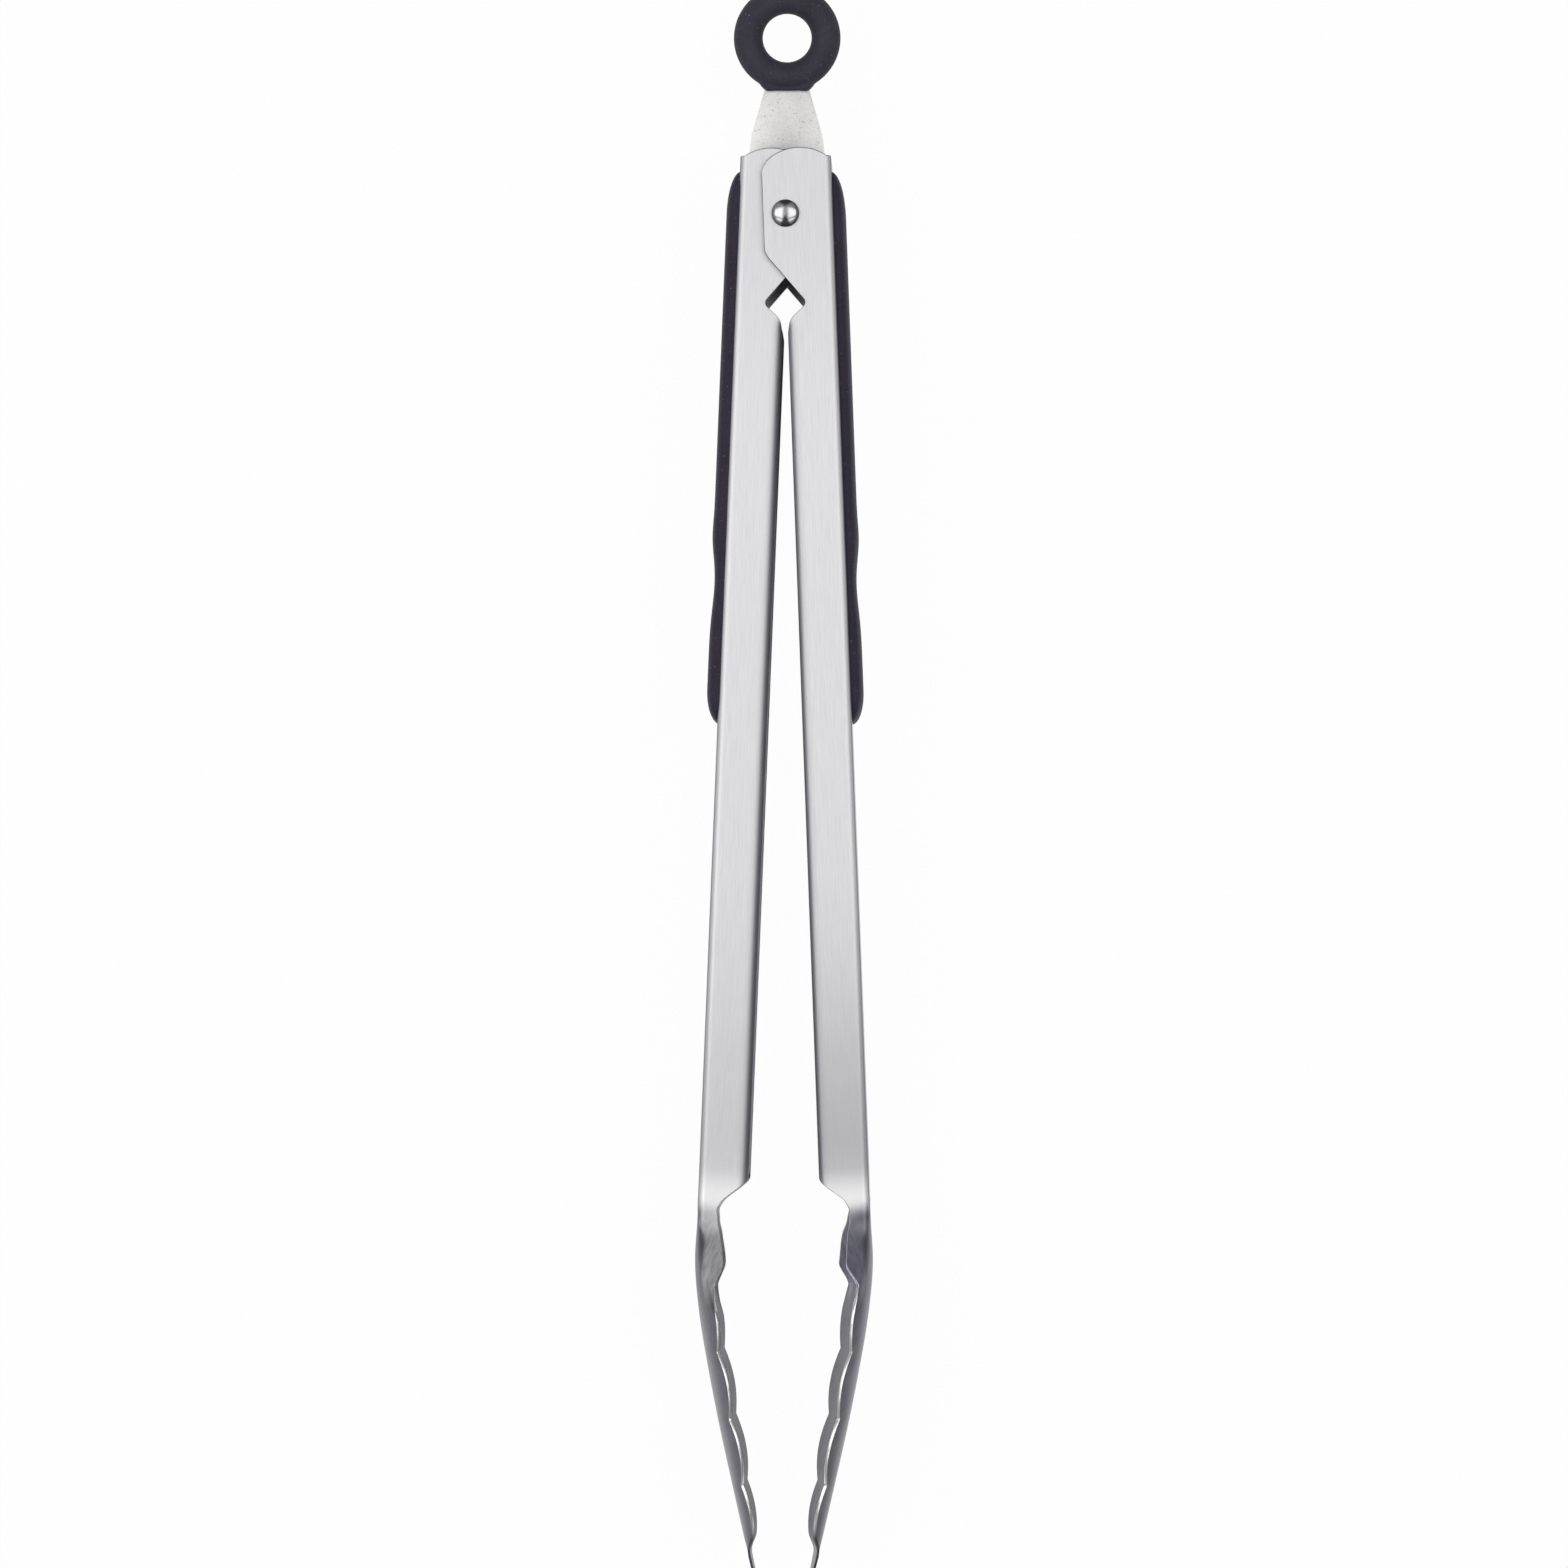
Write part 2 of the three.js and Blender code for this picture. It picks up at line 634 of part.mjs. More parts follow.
function tubeGeometry(innerRadius, outerRadius, low, high) {
  const solid = toSolid(bar(outerRadius, low, high));
  return toGeometry(solid.subtract(toSolid(bar(innerRadius, low - clearance, high + clearance))));
}

const bushInner = rivetRadius + runningGap;
const bushOuter = bushInner + bushWall;
const bushLow = plateThickness / 2 + runningGap;
const bushHigh = hingeInside - runningGap;

const stepsPerTurn = 12;
const wireStepsPerTurn = 22.4;
const wireSides = 6;

// Centre line of one torsion spring: a coil round the bush and a straight leg to each web.
function springPath() {
  const coilRadius = bushOuter + springWire / 2 + clearance;
  const low = bushLow + clearance + springWire / 2;
  const high = bushHigh - clearance - springWire / 2;
  const lean = Math.tan(radians(restLean));
  const legX = webOffset - sheet + springLegReach * lean - springWire / 2 - clearance;
  const points = [new THREE.Vector3(legX, -springLegReach, low)];
  const halfWayX = (coilRadius + legX) / 2 + springLegBow;
  points.push(new THREE.Vector3(halfWayX, -springLegReach / 2, low));
  const steps = Math.round(springTurns * stepsPerTurn);
  for (let i = 0; i <= steps; i += 1) {
    const t = i / steps;
    const angle = t * Math.PI * (2 * Math.ceil(springTurns) - 1);
    const x = coilRadius * Math.cos(angle);
    const y = coilRadius * Math.sin(angle);
    points.push(new THREE.Vector3(x, y, low + (high - low) * t));
  }
  points.push(new THREE.Vector3(-halfWayX, -springLegReach / 2, high));
  points.push(new THREE.Vector3(-legX, -springLegReach, high));
  return new THREE.CatmullRomCurve3(points, false, 'centripetal');
}

function springGeometry(face) {
  const circle = new THREE.Shape();
  for (let i = 0; i < wireSides; i += 1) {
    const angle = (i * 2 * Math.PI) / wireSides;
    const x = (springWire / 2) * Math.cos(angle);
    const y = (springWire / 2) * Math.sin(angle);
    if (i === 0) {
      circle.moveTo(x, y);
    } else {
      circle.lineTo(x, y);
    }
  }
  circle.closePath();
  const wire = new THREE.ExtrudeGeometry(circle, {
    steps: Math.round(springTurns * wireStepsPerTurn),
    bevelEnabled: false,
    extrudePath: springPath(),
  });
  if (face < 0) {
    wire.rotateY(Math.PI);
  }
  return toGeometry(toSolid(wire));
}

// ---------------------------------------------------------------- lock slide and ring

function slideGeometry() {
  const travelOut = closeMore * lockTravelPerDegree;
  const travelIn = openMore * lockTravelPerDegree;
  const shape = new THREE.Shape();
  const inside = webOffset - sheet;
  const bodyHalfWidth = inside - bodySideGap;
  const rightSide = [
    [bodyHalfWidth - plateCorner, plateFoot],
    [bodyHalfWidth, plateFoot + plateCorner],
    [bodyHalfWidth, bodyTop],
    [inside - tabShoulder.sideGap, tabShoulder.y],
    [inside - tabFlank.sideGap, tabFlank.y],
    [tabNeckHalfWidth, tabTop],
    [tongueHalfWidth, tabTop],
    [tongueHalfWidth, tabTop + tongueLength],
  ];
  rightSide.forEach(([x, y], i) => (i === 0 ? shape.moveTo(x, y) : shape.lineTo(x, y)));
  rightSide.reverse().forEach(([x, y]) => shape.lineTo(-x, y));
  shape.closePath();
  const slotRadius = rivetRadius + runningGap;
  const slot = new THREE.Path();
  slot.absarc(0, travelIn, slotRadius, 0, Math.PI, false);
  slot.absarc(0, -travelOut, slotRadius, Math.PI, 2 * Math.PI, false);
  slot.closePath();
  shape.holes.push(slot);
  return toGeometry(toSolid(plate(shape, -plateThickness / 2, plateThickness / 2)));
}

function ringGeometry() {
  const torus = new THREE.TorusGeometry(ringRadius, ringSection, 10, 32);
  torus.translate(0, tabTop + ringRadius + ringSection, 0);
  const collar = new THREE.BoxGeometry(2 * collarHalfWidth, collarHeight, 2 * collarHalfDepth);
  collar.translate(0, tabTop + clearance + collarHeight / 2, 0);
  const pocketTop = tabTop + tongueLength + clearance;
  const pocketFoot = tabTop - clearance;
  const pocket = new THREE.BoxGeometry(
    2 * (tongueHalfWidth + clearance),
    pocketTop - pocketFoot,
    plateThickness + 2 * clearance,
  );
  pocket.translate(0, (pocketTop + pocketFoot) / 2, 0);
  const solid = toSolid(torus).add(toSolid(collar)).subtract(toSolid(pocket));
  return toGeometry(solid);
}

// ---------------------------------------------------------------- assembly

const tongs = new THREE.Group();
const sides = [
  { name: 'left', side: -1, depth: innerArmDepth, lipRadius: leftLipRadius, headTwist: leftHeadTwist },
  { name: 'right', side: 1, depth: channelDepth, lipRadius: rightLipRadius, headTwist: rightHeadTwist },
];

for (const arm of sides) {
  const group = new THREE.Group();
  group.rotation.z = arm.side * radians(restLean);
  group.add(named(`${arm.name}_arm`, armGeometry(arm), brushedSteel));
  group.add(named(`${arm.name}_grip`, gripGeometry(arm), blackRubber));
  group.add(named(`${arm.name}_grip_core`, gripCoreGeometry(arm), blackNylon));
  tongs.add(group);
}

const washerTop = -outerFace - runningGap;
const washer = tubeGeometry(rivetRadius + runningGap, washerRadius, washerTop - washerThickness, washerTop);
tongs.add(named('pivot_rivet', rivetGeometry(), polishedSteel));
tongs.add(named('rivet_washer', washer, plainSteel));
tongs.add(named('front_bush', tubeGeometry(bushInner, bushOuter, bushLow, bushHigh), blackNylon));
tongs.add(named('rear_bush', tubeGeometry(bushInner, bushOuter, -bushHigh, -bushLow), blackNylon));
tongs.add(named('front_spring', springGeometry(1), springSteel));
tongs.add(named('rear_spring', springGeometry(-1), springSteel));
tongs.add(named('lock_slide', slideGeometry(), plainSteel));
tongs.add(named('hanging_ring', ringGeometry(), blackRubber));

const box = new THREE.Box3().setFromObject(tongs, true);
const centre = box.getCenter(new THREE.Vector3());
tongs.position.set(-centre.x, -centre.y, -box.min.z);

export default tongs;
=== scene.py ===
import math

import bmesh
import bpy
import numpy as np
from mathutils import Matrix, Vector


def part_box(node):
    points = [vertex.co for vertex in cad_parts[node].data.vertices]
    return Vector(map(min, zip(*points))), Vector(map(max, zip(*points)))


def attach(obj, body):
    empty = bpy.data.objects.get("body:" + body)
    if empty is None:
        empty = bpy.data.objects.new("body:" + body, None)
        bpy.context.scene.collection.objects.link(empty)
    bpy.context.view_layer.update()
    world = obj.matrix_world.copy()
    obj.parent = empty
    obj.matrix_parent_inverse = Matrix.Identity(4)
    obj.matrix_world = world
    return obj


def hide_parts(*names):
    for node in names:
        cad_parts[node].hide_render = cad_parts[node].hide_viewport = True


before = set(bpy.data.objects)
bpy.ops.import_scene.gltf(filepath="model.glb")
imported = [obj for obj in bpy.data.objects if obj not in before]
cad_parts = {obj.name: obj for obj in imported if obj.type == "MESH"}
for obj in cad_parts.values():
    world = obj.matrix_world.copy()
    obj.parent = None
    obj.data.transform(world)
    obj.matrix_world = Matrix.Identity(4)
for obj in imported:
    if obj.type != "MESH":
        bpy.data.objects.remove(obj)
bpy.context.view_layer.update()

# Spring loaded kitchen tongs with a pull-out lock, lying on their back with the ring towards +Y.
# Sizes are in millimetres, measured from the rivet's axis at the mid-plane of the tongs, as the
# part's own are. to_frame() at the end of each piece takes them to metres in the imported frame.


def middle(name):
    """Centre of a plain node's box."""
    low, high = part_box(name)
    return (low + high) / 2


PIVOT = np.array([middle("pivot_rivet").x, middle("pivot_rivet").y, middle("lock_slide").z])
MM = 0.001

# ---- sizes

# the stamped arms
SHEET = 0.9
ARM_REACH = 294.0
WEB_TOP = 12.2
WEB_OFFSET = 10.2
FLANGE_HEIGHT = 10.6
OUTER_DEPTH = 22.6
INNER_DEPTH = 20.2
BEND_RADIUS = 1.6
LIP_RETURN = 0.5
REST_LEAN = math.radians(2.2)
CUT_EDGE_RADIUS = 0.16  # deburred corner of the cut sheet
ARC_SHARE = 1 - math.sqrt(0.5)  # how far the middle of a corner's arc lies from its square sides

# the ears, and the rolled lip between the ears and the neck
EAR_START = 0.8  # inward from the web, where the ear begins to rise
EAR_REACH = 15.0
EAR_ARC_RADIUS = 10.3
EAR_ARC_INSET = 6.95
EAR_ARC_RISE = 3.85
EAR_CORNER = 3.7
EAR_FALL = 14.0  # the rise fades out over this length
LIP_START = -21.6
LIP_END = -206.2
# the flange's free edge beside the hinge: (place along the arm, distance inward from the web)
EAR_EDGE = ((17.2, 15.0), (-7.8, 15.0), (-8.9, 14.65), (-18.5, 6.95))
EAR_EDGE += ((-19.2, 6.4), (-19.9, 6.8), (-22.3, 9.6), (-23.2, 10.2))
LIP_ROLL_START = -22.6
LIP_ROLL_RUN = 5.0
LIP_HALF_UNROLLED = -208.1
NOTCH_SHOULDER = (-211.5, 5.4)
NOTCH_AT = -213.6
NECK_STATIONS = (-216.6, -219.5, -222.4, -225.2, -226.2)

# the spoon heads and their scallops
HEAD_RISE_START = -215.0
HEAD_HALF_WIDTH = 19.58
HEAD_RISE = math.radians(33.0)
RISE_LEAD, RISE_SLANT, RISE_RUN = 3.0, 1.7, 7.0  # start above it, delay per mm of girth, length
HOLLOW_POWER = 1.8  # the hollow steepens towards its rim
HOLLOW_END = (-282.5, -287.5)  # where the hollow runs out before the tip
SPOON_START = -232.0
SPOON_POWERS = (3.2, 0.75)  # how late the outline narrows, and how blunt it ends
TIP_END = 0.05 - ARM_REACH
TIP_COINING = 0.4  # share of its thickness that the very tip loses under the press
COINED_FROM = (-283.0, -287.0)
TWIST_INSET = 5.0  # distance from the twist's axis out to the web's edge
TWIST_LEAD, TWIST_RUN = 4.0, 9.0
BACK_BEND_START = -221.5
BACK_SLOPE = 0.265
BACK_BENDS = (20.0, 25.0)  # lengths of the gentle bend and of the one that follows it
GENTLE_SHARE = 0.8  # share of the slope that the first bend gives
BACK_BULGE, BULGE_AT, BULGE_LENGTH = 0.35, -224.0, 8.0
FIRST_VALLEY = -229.7
SCALLOP_PITCH = 14.1
SCALLOP_DEPTH = 1.9
FIRST_VALLEY_FILL = 0.5  # the valley beside the neck is this much shallower than the rest
FILL_END = -237.0

# places along the arm between which a painted shade or painted highlight comes in or goes out
SHAFT_SHADE_SPAN = (-140.0, -205.0)
EAR_SHADE_SPAN = (-50.0, 5.0)
EAR_SHADE_DEPTH = 0.15
BACK_SHADE_SPAN = (-242.0, -229.0)
HEAD_SKIN = (-214.0, -219.0)
NECK_HIGHLIGHT_SPAN = ((-203.0, -211.0), (-215.0, -211.0))
FLANGE_HIGHLIGHT_SPAN = (-235.0, -227.0)
FLANGE_HIGHLIGHT_RUN = 6.0
# where the cut edges' painted light fades out before the tip
EDGE_LIGHT_FADE = (-279.0, -284.0)
CREASE_START, CREASE_INNER, CREASE_SPREAD, CREASE_RUN = -217.0, 1.4, 5.2, 5.0
CREASE_HALF_WIDTH = 0.7
BEND_SHADE_TURNS = (math.radians(40), math.radians(74))  # turn from the flange over which the painted shade on the bends comes in
LIP_SHADE, LIP_SHADE_LEAD, LIP_SHADE_TURN = 0.78, 0.4, math.radians(55)
PRESS_LINE_LEAD, PRESS_LINE_SLANT = 4.5, 0.35

# the rivet, its washer and the two bushes
RIVET_RADIUS = 2.0
RIVET_HOLE = 2.15
RIVET_HEAD_RADIUS = 2.95
RIVET_HEAD_HEIGHT = 1.3
RIVET_TAIL_RADIUS = 3.0
RIVET_TAIL_HEIGHT = 0.9
WASHER_RADIUS = 4.5
WASHER_THICKNESS = 0.6
BUSH_INNER = 2.15
BUSH_OUTER = 3.15
BUSH_LOW = 0.75
BUSH_HIGH = 9.05
HEAD_CLEARANCE = 0.06  # from the front ear to the rivet's head
WASHER_CLEARANCE = 0.04  # from the rear ear to the washer
EAR_FACE = OUTER_DEPTH / 2
HEAD_BASE = EAR_FACE + HEAD_CLEARANCE
TAIL_PLAY = 0.3  # behind the rear ear, and taken up by a thicker washer
TAIL_BASE = -EAR_FACE - TAIL_PLAY - WASHER_THICKNESS
WASHER_TOP = -EAR_FACE - WASHER_CLEARANCE
WASHER_HOLE = RIVET_RADIUS + 0.05

# the springs
WIRE_THICKNESS = 1.4
WIRE_SIDES = 20
COIL_TURNS = 3.5
COIL_PLAY = 0.3  # round the bush, and at both its ends
COIL_RADIUS = BUSH_OUTER + WIRE_THICKNESS / 2 + COIL_PLAY
COIL_LOW = BUSH_LOW + COIL_PLAY + WIRE_THICKNESS / 2
COIL_HIGH = BUSH_HIGH - COIL_PLAY - WIRE_THICKNESS / 2
COIL_TRIM = 0.03  # of a turn that the coil stops short at both ends, where the legs take over
LEG_OVERLAP = 0.07  # of a turn that each leg starts before its coil's end
SPRING_LEG_REACH = 22.0
LEG_GAP = 0.12  # between a leg's end and the web

# the lock slide
PLATE_THICKNESS = 1.2
PLATE_FOOT = -8.6
PLATE_HALF_WIDTH = 7.6
PLATE_TOP = 10.5
TAB_SHOULDER = (8.25, 13.4)
TAB_FLANK = (7.63, 18.2)
TAB_NECK_HALF_WIDTH = 4.9
TAB_TOP = 27.75
TONGUE_HALF_WIDTH = 3.0
TONGUE_LENGTH = 3.6
SLOT_RADIUS = 2.15
SLOT_FOOT = -1.161
SLOT_TOP = 12.255
PUNCHED_EDGE = 0.22
LOCK_ASIDE = 0.08  # the slide sits a little to the right in its loose fit

# the pull ring
RING_CENTRE = 39.28
RING_RADIUS = 8.4
RING_SECTION = 3.14
RING_PROFILE = (160, 64)  # points round the ring, and round its section
COLLAR_HALF_DEPTH = 1.9
COLLAR_TOP = 4.6  # above the slide's shoulders
COLLAR_HALF_WIDTHS = ((4.35, 0), (5.0, 0.55), (5.9, 1.5))  # each with its height above the foot
COLLAR_TOP_HALF_WIDTH = 3.6
MOULDED_GRAIN = 0.24  # how finely the ring and its collar are melted into one

# the grips and their studs
GRIP_TOP = 9.1
GRIP_FOOT = -109.3
GRIP_HEIGHT = 2.65
GRIP_TOP_ROUND = 9.0
GRIP_FOOT_ROUND = 7.0
FINGER_STOP_AT = -69.8
FINGER_STOP_HEIGHT = 0.3
FINGER_STOP_HALF_LENGTH = 4.5
GRIP_HALF_WIDTH = 9.4
GRIP_CORNER = 4.5
GRIP_CORNER_INSET = 3.2
GRIP_POWERS = (0.42, 0.62)  # how boxy the pad's section is across, and how full it is in height
GRIP_SEAT = 0.03  # gap over the web
GRIP_RIM = 0.02  # least thickness at the pad's edge
GROOVE_AT = -79.4
GROOVE_DEPTH = 0.65
GROOVE_HALF_LENGTH = 11.0
GROOVE_TIGHTNESS = 2.2
STUDS_AT = (-38.0, -92.0)
STUD_RADIUS = 2.2
STUD_HOLE = 2.5
STUD_HEAD_RADIUS = 3.4
STUD_HEAD_HEIGHT = 0.9
STUD_LENGTH = 0.9  # into the pad
STUD_GAP = 0.3  # between the web and the snap head

# How the arms differ. The left arm's channel fits inside the right arm's.
# notch is how far inward the flange reaches at its notch, and neck holds the girths beyond the
# web's flat at NECK_STATIONS. The last five keys set painted light: a painted highlight on the
# head's flanges and where it starts, painted shade on the head's back and on the lower shaft, and
# a switch to the darker, shaded copies of the head's and cut edges' colours for the right arm.
ARMS = {
    "left": {
        "body": "left_arm",
        "side": -1,
        "depth": INNER_DEPTH,
        "lip": 2.0,
        "twist": 0.0,
        "notch": 4.1,
        "neck": (5.4, 6.75, 8.6, 10.15, 10.4),
        "rub": 0.88,
        "flange_highlight_start": -211.0,
        "web_shade": 0.75,
        "shaft_shade_depth": 0.25,
        "darker_rim": 0.0,
    },
    "right": {
        "body": "right_arm",
        "side": 1,
        "depth": OUTER_DEPTH,
        "lip": 1.5,
        "twist": math.radians(3.8),
        "notch": 4.4,
        "neck": (5.5, 6.85, 8.4, 9.8, 9.7),
        "rub": 0.3,
        "flange_highlight_start": -214.0,
        "web_shade": 0.25,
        "shaft_shade_depth": 0.6,
        "darker_rim": 1.0,
    },
}


# ---- meshes


def to_frame(points):
    """Millimetres from the rivet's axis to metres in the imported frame."""
    return np.asarray(points, float) * MM + PIVOT


def leaned(points, side):
    """Turns an arm's own points about the rivet to where the arm rests."""
    x, y, z = np.asarray(points, float).T
    cos, sin = math.cos(side * REST_LEAN), math.sin(side * REST_LEAN)
    return np.stack([x * cos - y * sin, x * sin + y * cos, z], 1)


def placed(name, shape):
    """An object of its own for a mesh, a lamp or the camera, in the scene."""
    made = bpy.data.objects.new(name, shape)
    bpy.context.scene.collection.objects.link(made)
    return made


def piece(name, points, faces, finish, uv=None, marks=None, crease=50.0):
    """A piece from points in millimetres and faces, with a map in millimetres and named marks."""
    mesh = bpy.data.meshes.new(name)
    mesh.from_pydata(to_frame(points).tolist(), [], [list(map(int, face)) for face in faces])
    mesh.validate()
    if uv is not None:
        layer = mesh.uv_layers.new(name="surface_mm")
        corners = np.zeros(len(mesh.loops), np.int32)
        mesh.loops.foreach_get("vertex_index", corners)
        layer.data.foreach_set("uv", np.asarray(uv, np.float32)[corners].ravel())
    for label, values in (marks or {}).items():
        carried = mesh.attributes.new(label, "FLOAT", "POINT")
        carried.data.foreach_set("value", np.asarray(values, np.float32))
    mesh.materials.append(finish)
    mesh.shade_smooth()
    mesh.set_sharp_from_angle(angle=math.radians(crease))
    return placed(name, mesh)


def joined(parts):
    """Several (points, faces) as one."""
    points, faces, start = [], [], 0
    for some_points, some_faces in parts:
        points.append(np.asarray(some_points, float))
        faces += [[corner + start for corner in face] for face in some_faces]
        start += len(some_points)
    return np.concatenate(points), faces


def loop_quads(rows, columns, ends_meet=False):
    """Faces between rows of points, each row a closed loop. The last row can join the first."""
    quads = []
    for row in range(rows if ends_meet else rows - 1):
        a, b = row * columns, (row + 1) % rows * columns
        for i in range(columns):
            j = (i + 1) % columns
            quads.append([a + i, b + i, b + j, a + j])
    return quads


def smooth_step(start, end, value):
    """0 before the start and 1 beyond the end, with a soft rise between. The end can be the lower."""
    t = np.clip((value - start) / (end - start), 0, 1)
    return t * t * (3 - 2 * t)


def eased(stations, values, place, window):
    """Straight runs between the stations, with each corner rounded over the window."""
    order = np.argsort(stations)
    spots = place + np.linspace(-window / 2, window / 2, 13)
    return np.interp(spots, np.array(stations, float)[order], np.array(values, float)[order]).mean()


# ---- the stamped arm as one sheet
#
# girth is the distance round the section from the middle of the web, and the section's turning
# angle is 0 on the web, 90 degrees on the flange and 180 degrees at the end of the rolled lip.

BEND_GIRTH = BEND_RADIUS * math.pi / 2


def web_girth(arm):
    """Girth where the web's flat ends and its bend begins."""
    return arm["depth"] / 2 - BEND_RADIUS


def flange_girth(arm, inward):
    """Girth on the flange at a distance inward from the web's outer face."""
    return arm["depth"] / 2 - 2 * BEND_RADIUS + BEND_GIRTH + inward


def lip_girth(arm):
    """Girth where the rolled lip begins."""
    return flange_girth(arm, FLANGE_HEIGHT - arm["lip"])


def full_girth(arm):
    """Girth of the rolled lip's free edge."""
    return lip_girth(arm) + arm["lip"] * math.pi / 2 + LIP_RETURN


def spoon_width(y):
    """Half the developed width of the spoon over its lobes."""
    reach = min(max((SPOON_START - y) / (ARM_REACH + SPOON_START), 0), 1)
    return HEAD_HALF_WIDTH * (1 - reach ** SPOON_POWERS[0]) ** SPOON_POWERS[1]


def section_angle(arm, y, girth):
    """How far the section has turned from the web at a girth: a channel, opening into the spoon."""
    flat = web_girth(arm)
    roll = smooth_step(0, 3, LIP_START - y)
    channel = np.clip((girth - flat) / BEND_RADIUS, 0, math.pi / 2)
    channel = channel + roll * np.clip((girth - lip_girth(arm)) / arm["lip"], 0, math.pi / 2)
    fade = 1 - smooth_step(*HOLLOW_END, y)
    spoon = HEAD_RISE * fade * (girth / spoon_width(y)) ** HOLLOW_POWER if fade > 0 else 0 * girth
    start = HEAD_RISE_START + RISE_LEAD - RISE_SLANT * np.maximum(girth - flat, 0)
    share = smooth_step(0, RISE_RUN, start - y)
    return (1 - share) * channel + share * spoon


def back_shift(y):
    """How far the arm's back has moved inward from the web's plane."""
    along = max(BACK_BEND_START - y, 0)
    first_bend, second_bend = BACK_BENDS
    first_slope = GENTLE_SHARE * BACK_SLOPE
    in_first = min(along, first_bend)
    in_second = min(max(along - first_bend, 0), second_bend)
    beyond = max(along - first_bend - second_bend, 0)
    gain = (BACK_SLOPE - first_slope) * in_second / second_bend
    shift = first_slope * in_first**2 / (2 * first_bend) + in_second * (first_slope + gain / 2)
    bulge = BACK_BULGE * math.exp(-(((y - BULGE_AT) / BULGE_LENGTH) ** 2))
    return shift + beyond * BACK_SLOPE - bulge


def section_point(arm, y, girth):
    """Distance inward from the back, and distance from the mid-plane, for girths of one side."""
    step = 0.05
    walk = np.arange(0, np.max(girth) + 1, step)
    angle = section_angle(arm, y, walk + step / 2)
    inward = np.concatenate([[0], np.cumsum(np.sin(angle)) * step])
    across = np.concatenate([[0], np.cumsum(np.cos(angle)) * step])
    walk = np.append(walk, walk[-1] + step)
    return np.interp(girth, walk, inward), np.interp(girth, walk, across)


def outer_face(arm, y, girth):
    """Points of an arm's outer face across one row, at the row's own y."""
    inward, across = section_point(arm, y, np.abs(girth))
    z = np.sign(girth) * across
    twist = arm["twist"] * smooth_step(0, TWIST_RUN, HEAD_RISE_START + TWIST_LEAD - y)
    turned_inward = inward * math.cos(twist) - z * math.sin(twist) + TWIST_INSET * math.sin(twist)
    turned_z = inward * math.sin(twist) + z * math.cos(twist)
    x = arm["side"] * (WEB_OFFSET - back_shift(y) - turned_inward)
    return np.stack([x, np.full_like(x, y), turned_z], 1)


def ear_top(inward):
    """Upper edge of the ear at a distance inward from the web's outer face."""
    from_centre = np.clip(inward, EAR_START, EAR_REACH) - EAR_ARC_INSET
    arc = EAR_ARC_RISE + np.sqrt(EAR_ARC_RADIUS**2 - from_centre**2)
    corner = EAR_CORNER / 2
    into = np.clip((inward - (EAR_REACH - corner)) / corner, 0, 1)
    return arc - corner * (1 - np.sqrt(1 - into**2))


def free_edge(arm, y):
    """Girth of the sheet's free edge at a place along the arm."""
    full = full_girth(arm)
    if y > LIP_START - 6:
        edge = flange_girth(arm, eased(*zip(*EAR_EDGE), y, 1.6))
        return edge + (full - edge) * smooth_step(0, LIP_ROLL_RUN, LIP_ROLL_START - y)
    if y > LIP_END + 1:
        return full
    if y > FIRST_VALLEY:
        shoulder_at, shoulder = NOTCH_SHOULDER
        stations = [-200, LIP_END, LIP_HALF_UNROLLED, shoulder_at, NOTCH_AT]
        stations += [*NECK_STATIONS, FIRST_VALLEY]
        girths = [full, full, lip_girth(arm) + 0.5 * arm["lip"]]
        girths += [flange_girth(arm, inward) for inward in (shoulder, arm["notch"])]
        girths += [web_girth(arm) + beyond_web for beyond_web in arm["neck"]]
        girths += [HEAD_HALF_WIDTH - SCALLOP_DEPTH + FIRST_VALLEY_FILL]
        window = 1.2 * smooth_step(0, 1.5, y - FIRST_VALLEY) + 0.02
        return eased(stations, girths, y, window)
    in_lobe = ((FIRST_VALLEY - y) / SCALLOP_PITCH) % 1
    depth = SCALLOP_DEPTH - FIRST_VALLEY_FILL * smooth_step(FILL_END, FIRST_VALLEY, y)
    return spoon_width(y) - depth * (1 - 4 * in_lobe * (1 - in_lobe))


def arm_rows():
    """Rows along the arm, close together where its outline or its section changes."""
    hinge_step, neck_step = 0.35, 0.3
    hinge = np.arange(WEB_TOP - hinge_step, LIP_START - 7, -hinge_step)
    shaft = np.linspace(LIP_START - 8, LIP_END + 1.5, 32)
    neck = np.arange(LIP_END + 1, FIRST_VALLEY + 0.1, -neck_step)
    lobe = np.linspace(0, 1, 36)[:-1] * -SCALLOP_PITCH + FIRST_VALLEY
    lobes = [lobe - i * SCALLOP_PITCH for i in range(4)]
    tip_start = FIRST_VALLEY - 4 * SCALLOP_PITCH
    last = TIP_END + CUT_EDGE_RADIUS
    tip = tip_start + (last - tip_start) * np.linspace(0, 1, 36) ** 0.8
    return np.concatenate([hinge, shaft, neck, *lobes, tip])


def half_row(arm, edge):
    """Girths from the middle of the web to just before the free edge."""
    flat = web_girth(arm)
    shrink = min(edge / (flange_girth(arm, BEND_RADIUS + 0.6) + 1.2), 1)
    web = np.linspace(0, flat, 8)
    bend = flat + np.linspace(0, 1, 9)[1:] * BEND_GIRTH
    fixed = np.concatenate([web, bend]) * shrink
    lip_at = min(lip_girth(arm), edge - 0.2 * (edge - fixed[-1]))
    flange = np.linspace(fixed[-1], lip_at, 10)[1:]
    lip = lip_at + (edge - CUT_EDGE_RADIUS - lip_at) * (1 - (1 - np.linspace(0, 1, 16)[1:]) ** 1.5)
    return np.concatenate([fixed, flange, lip])


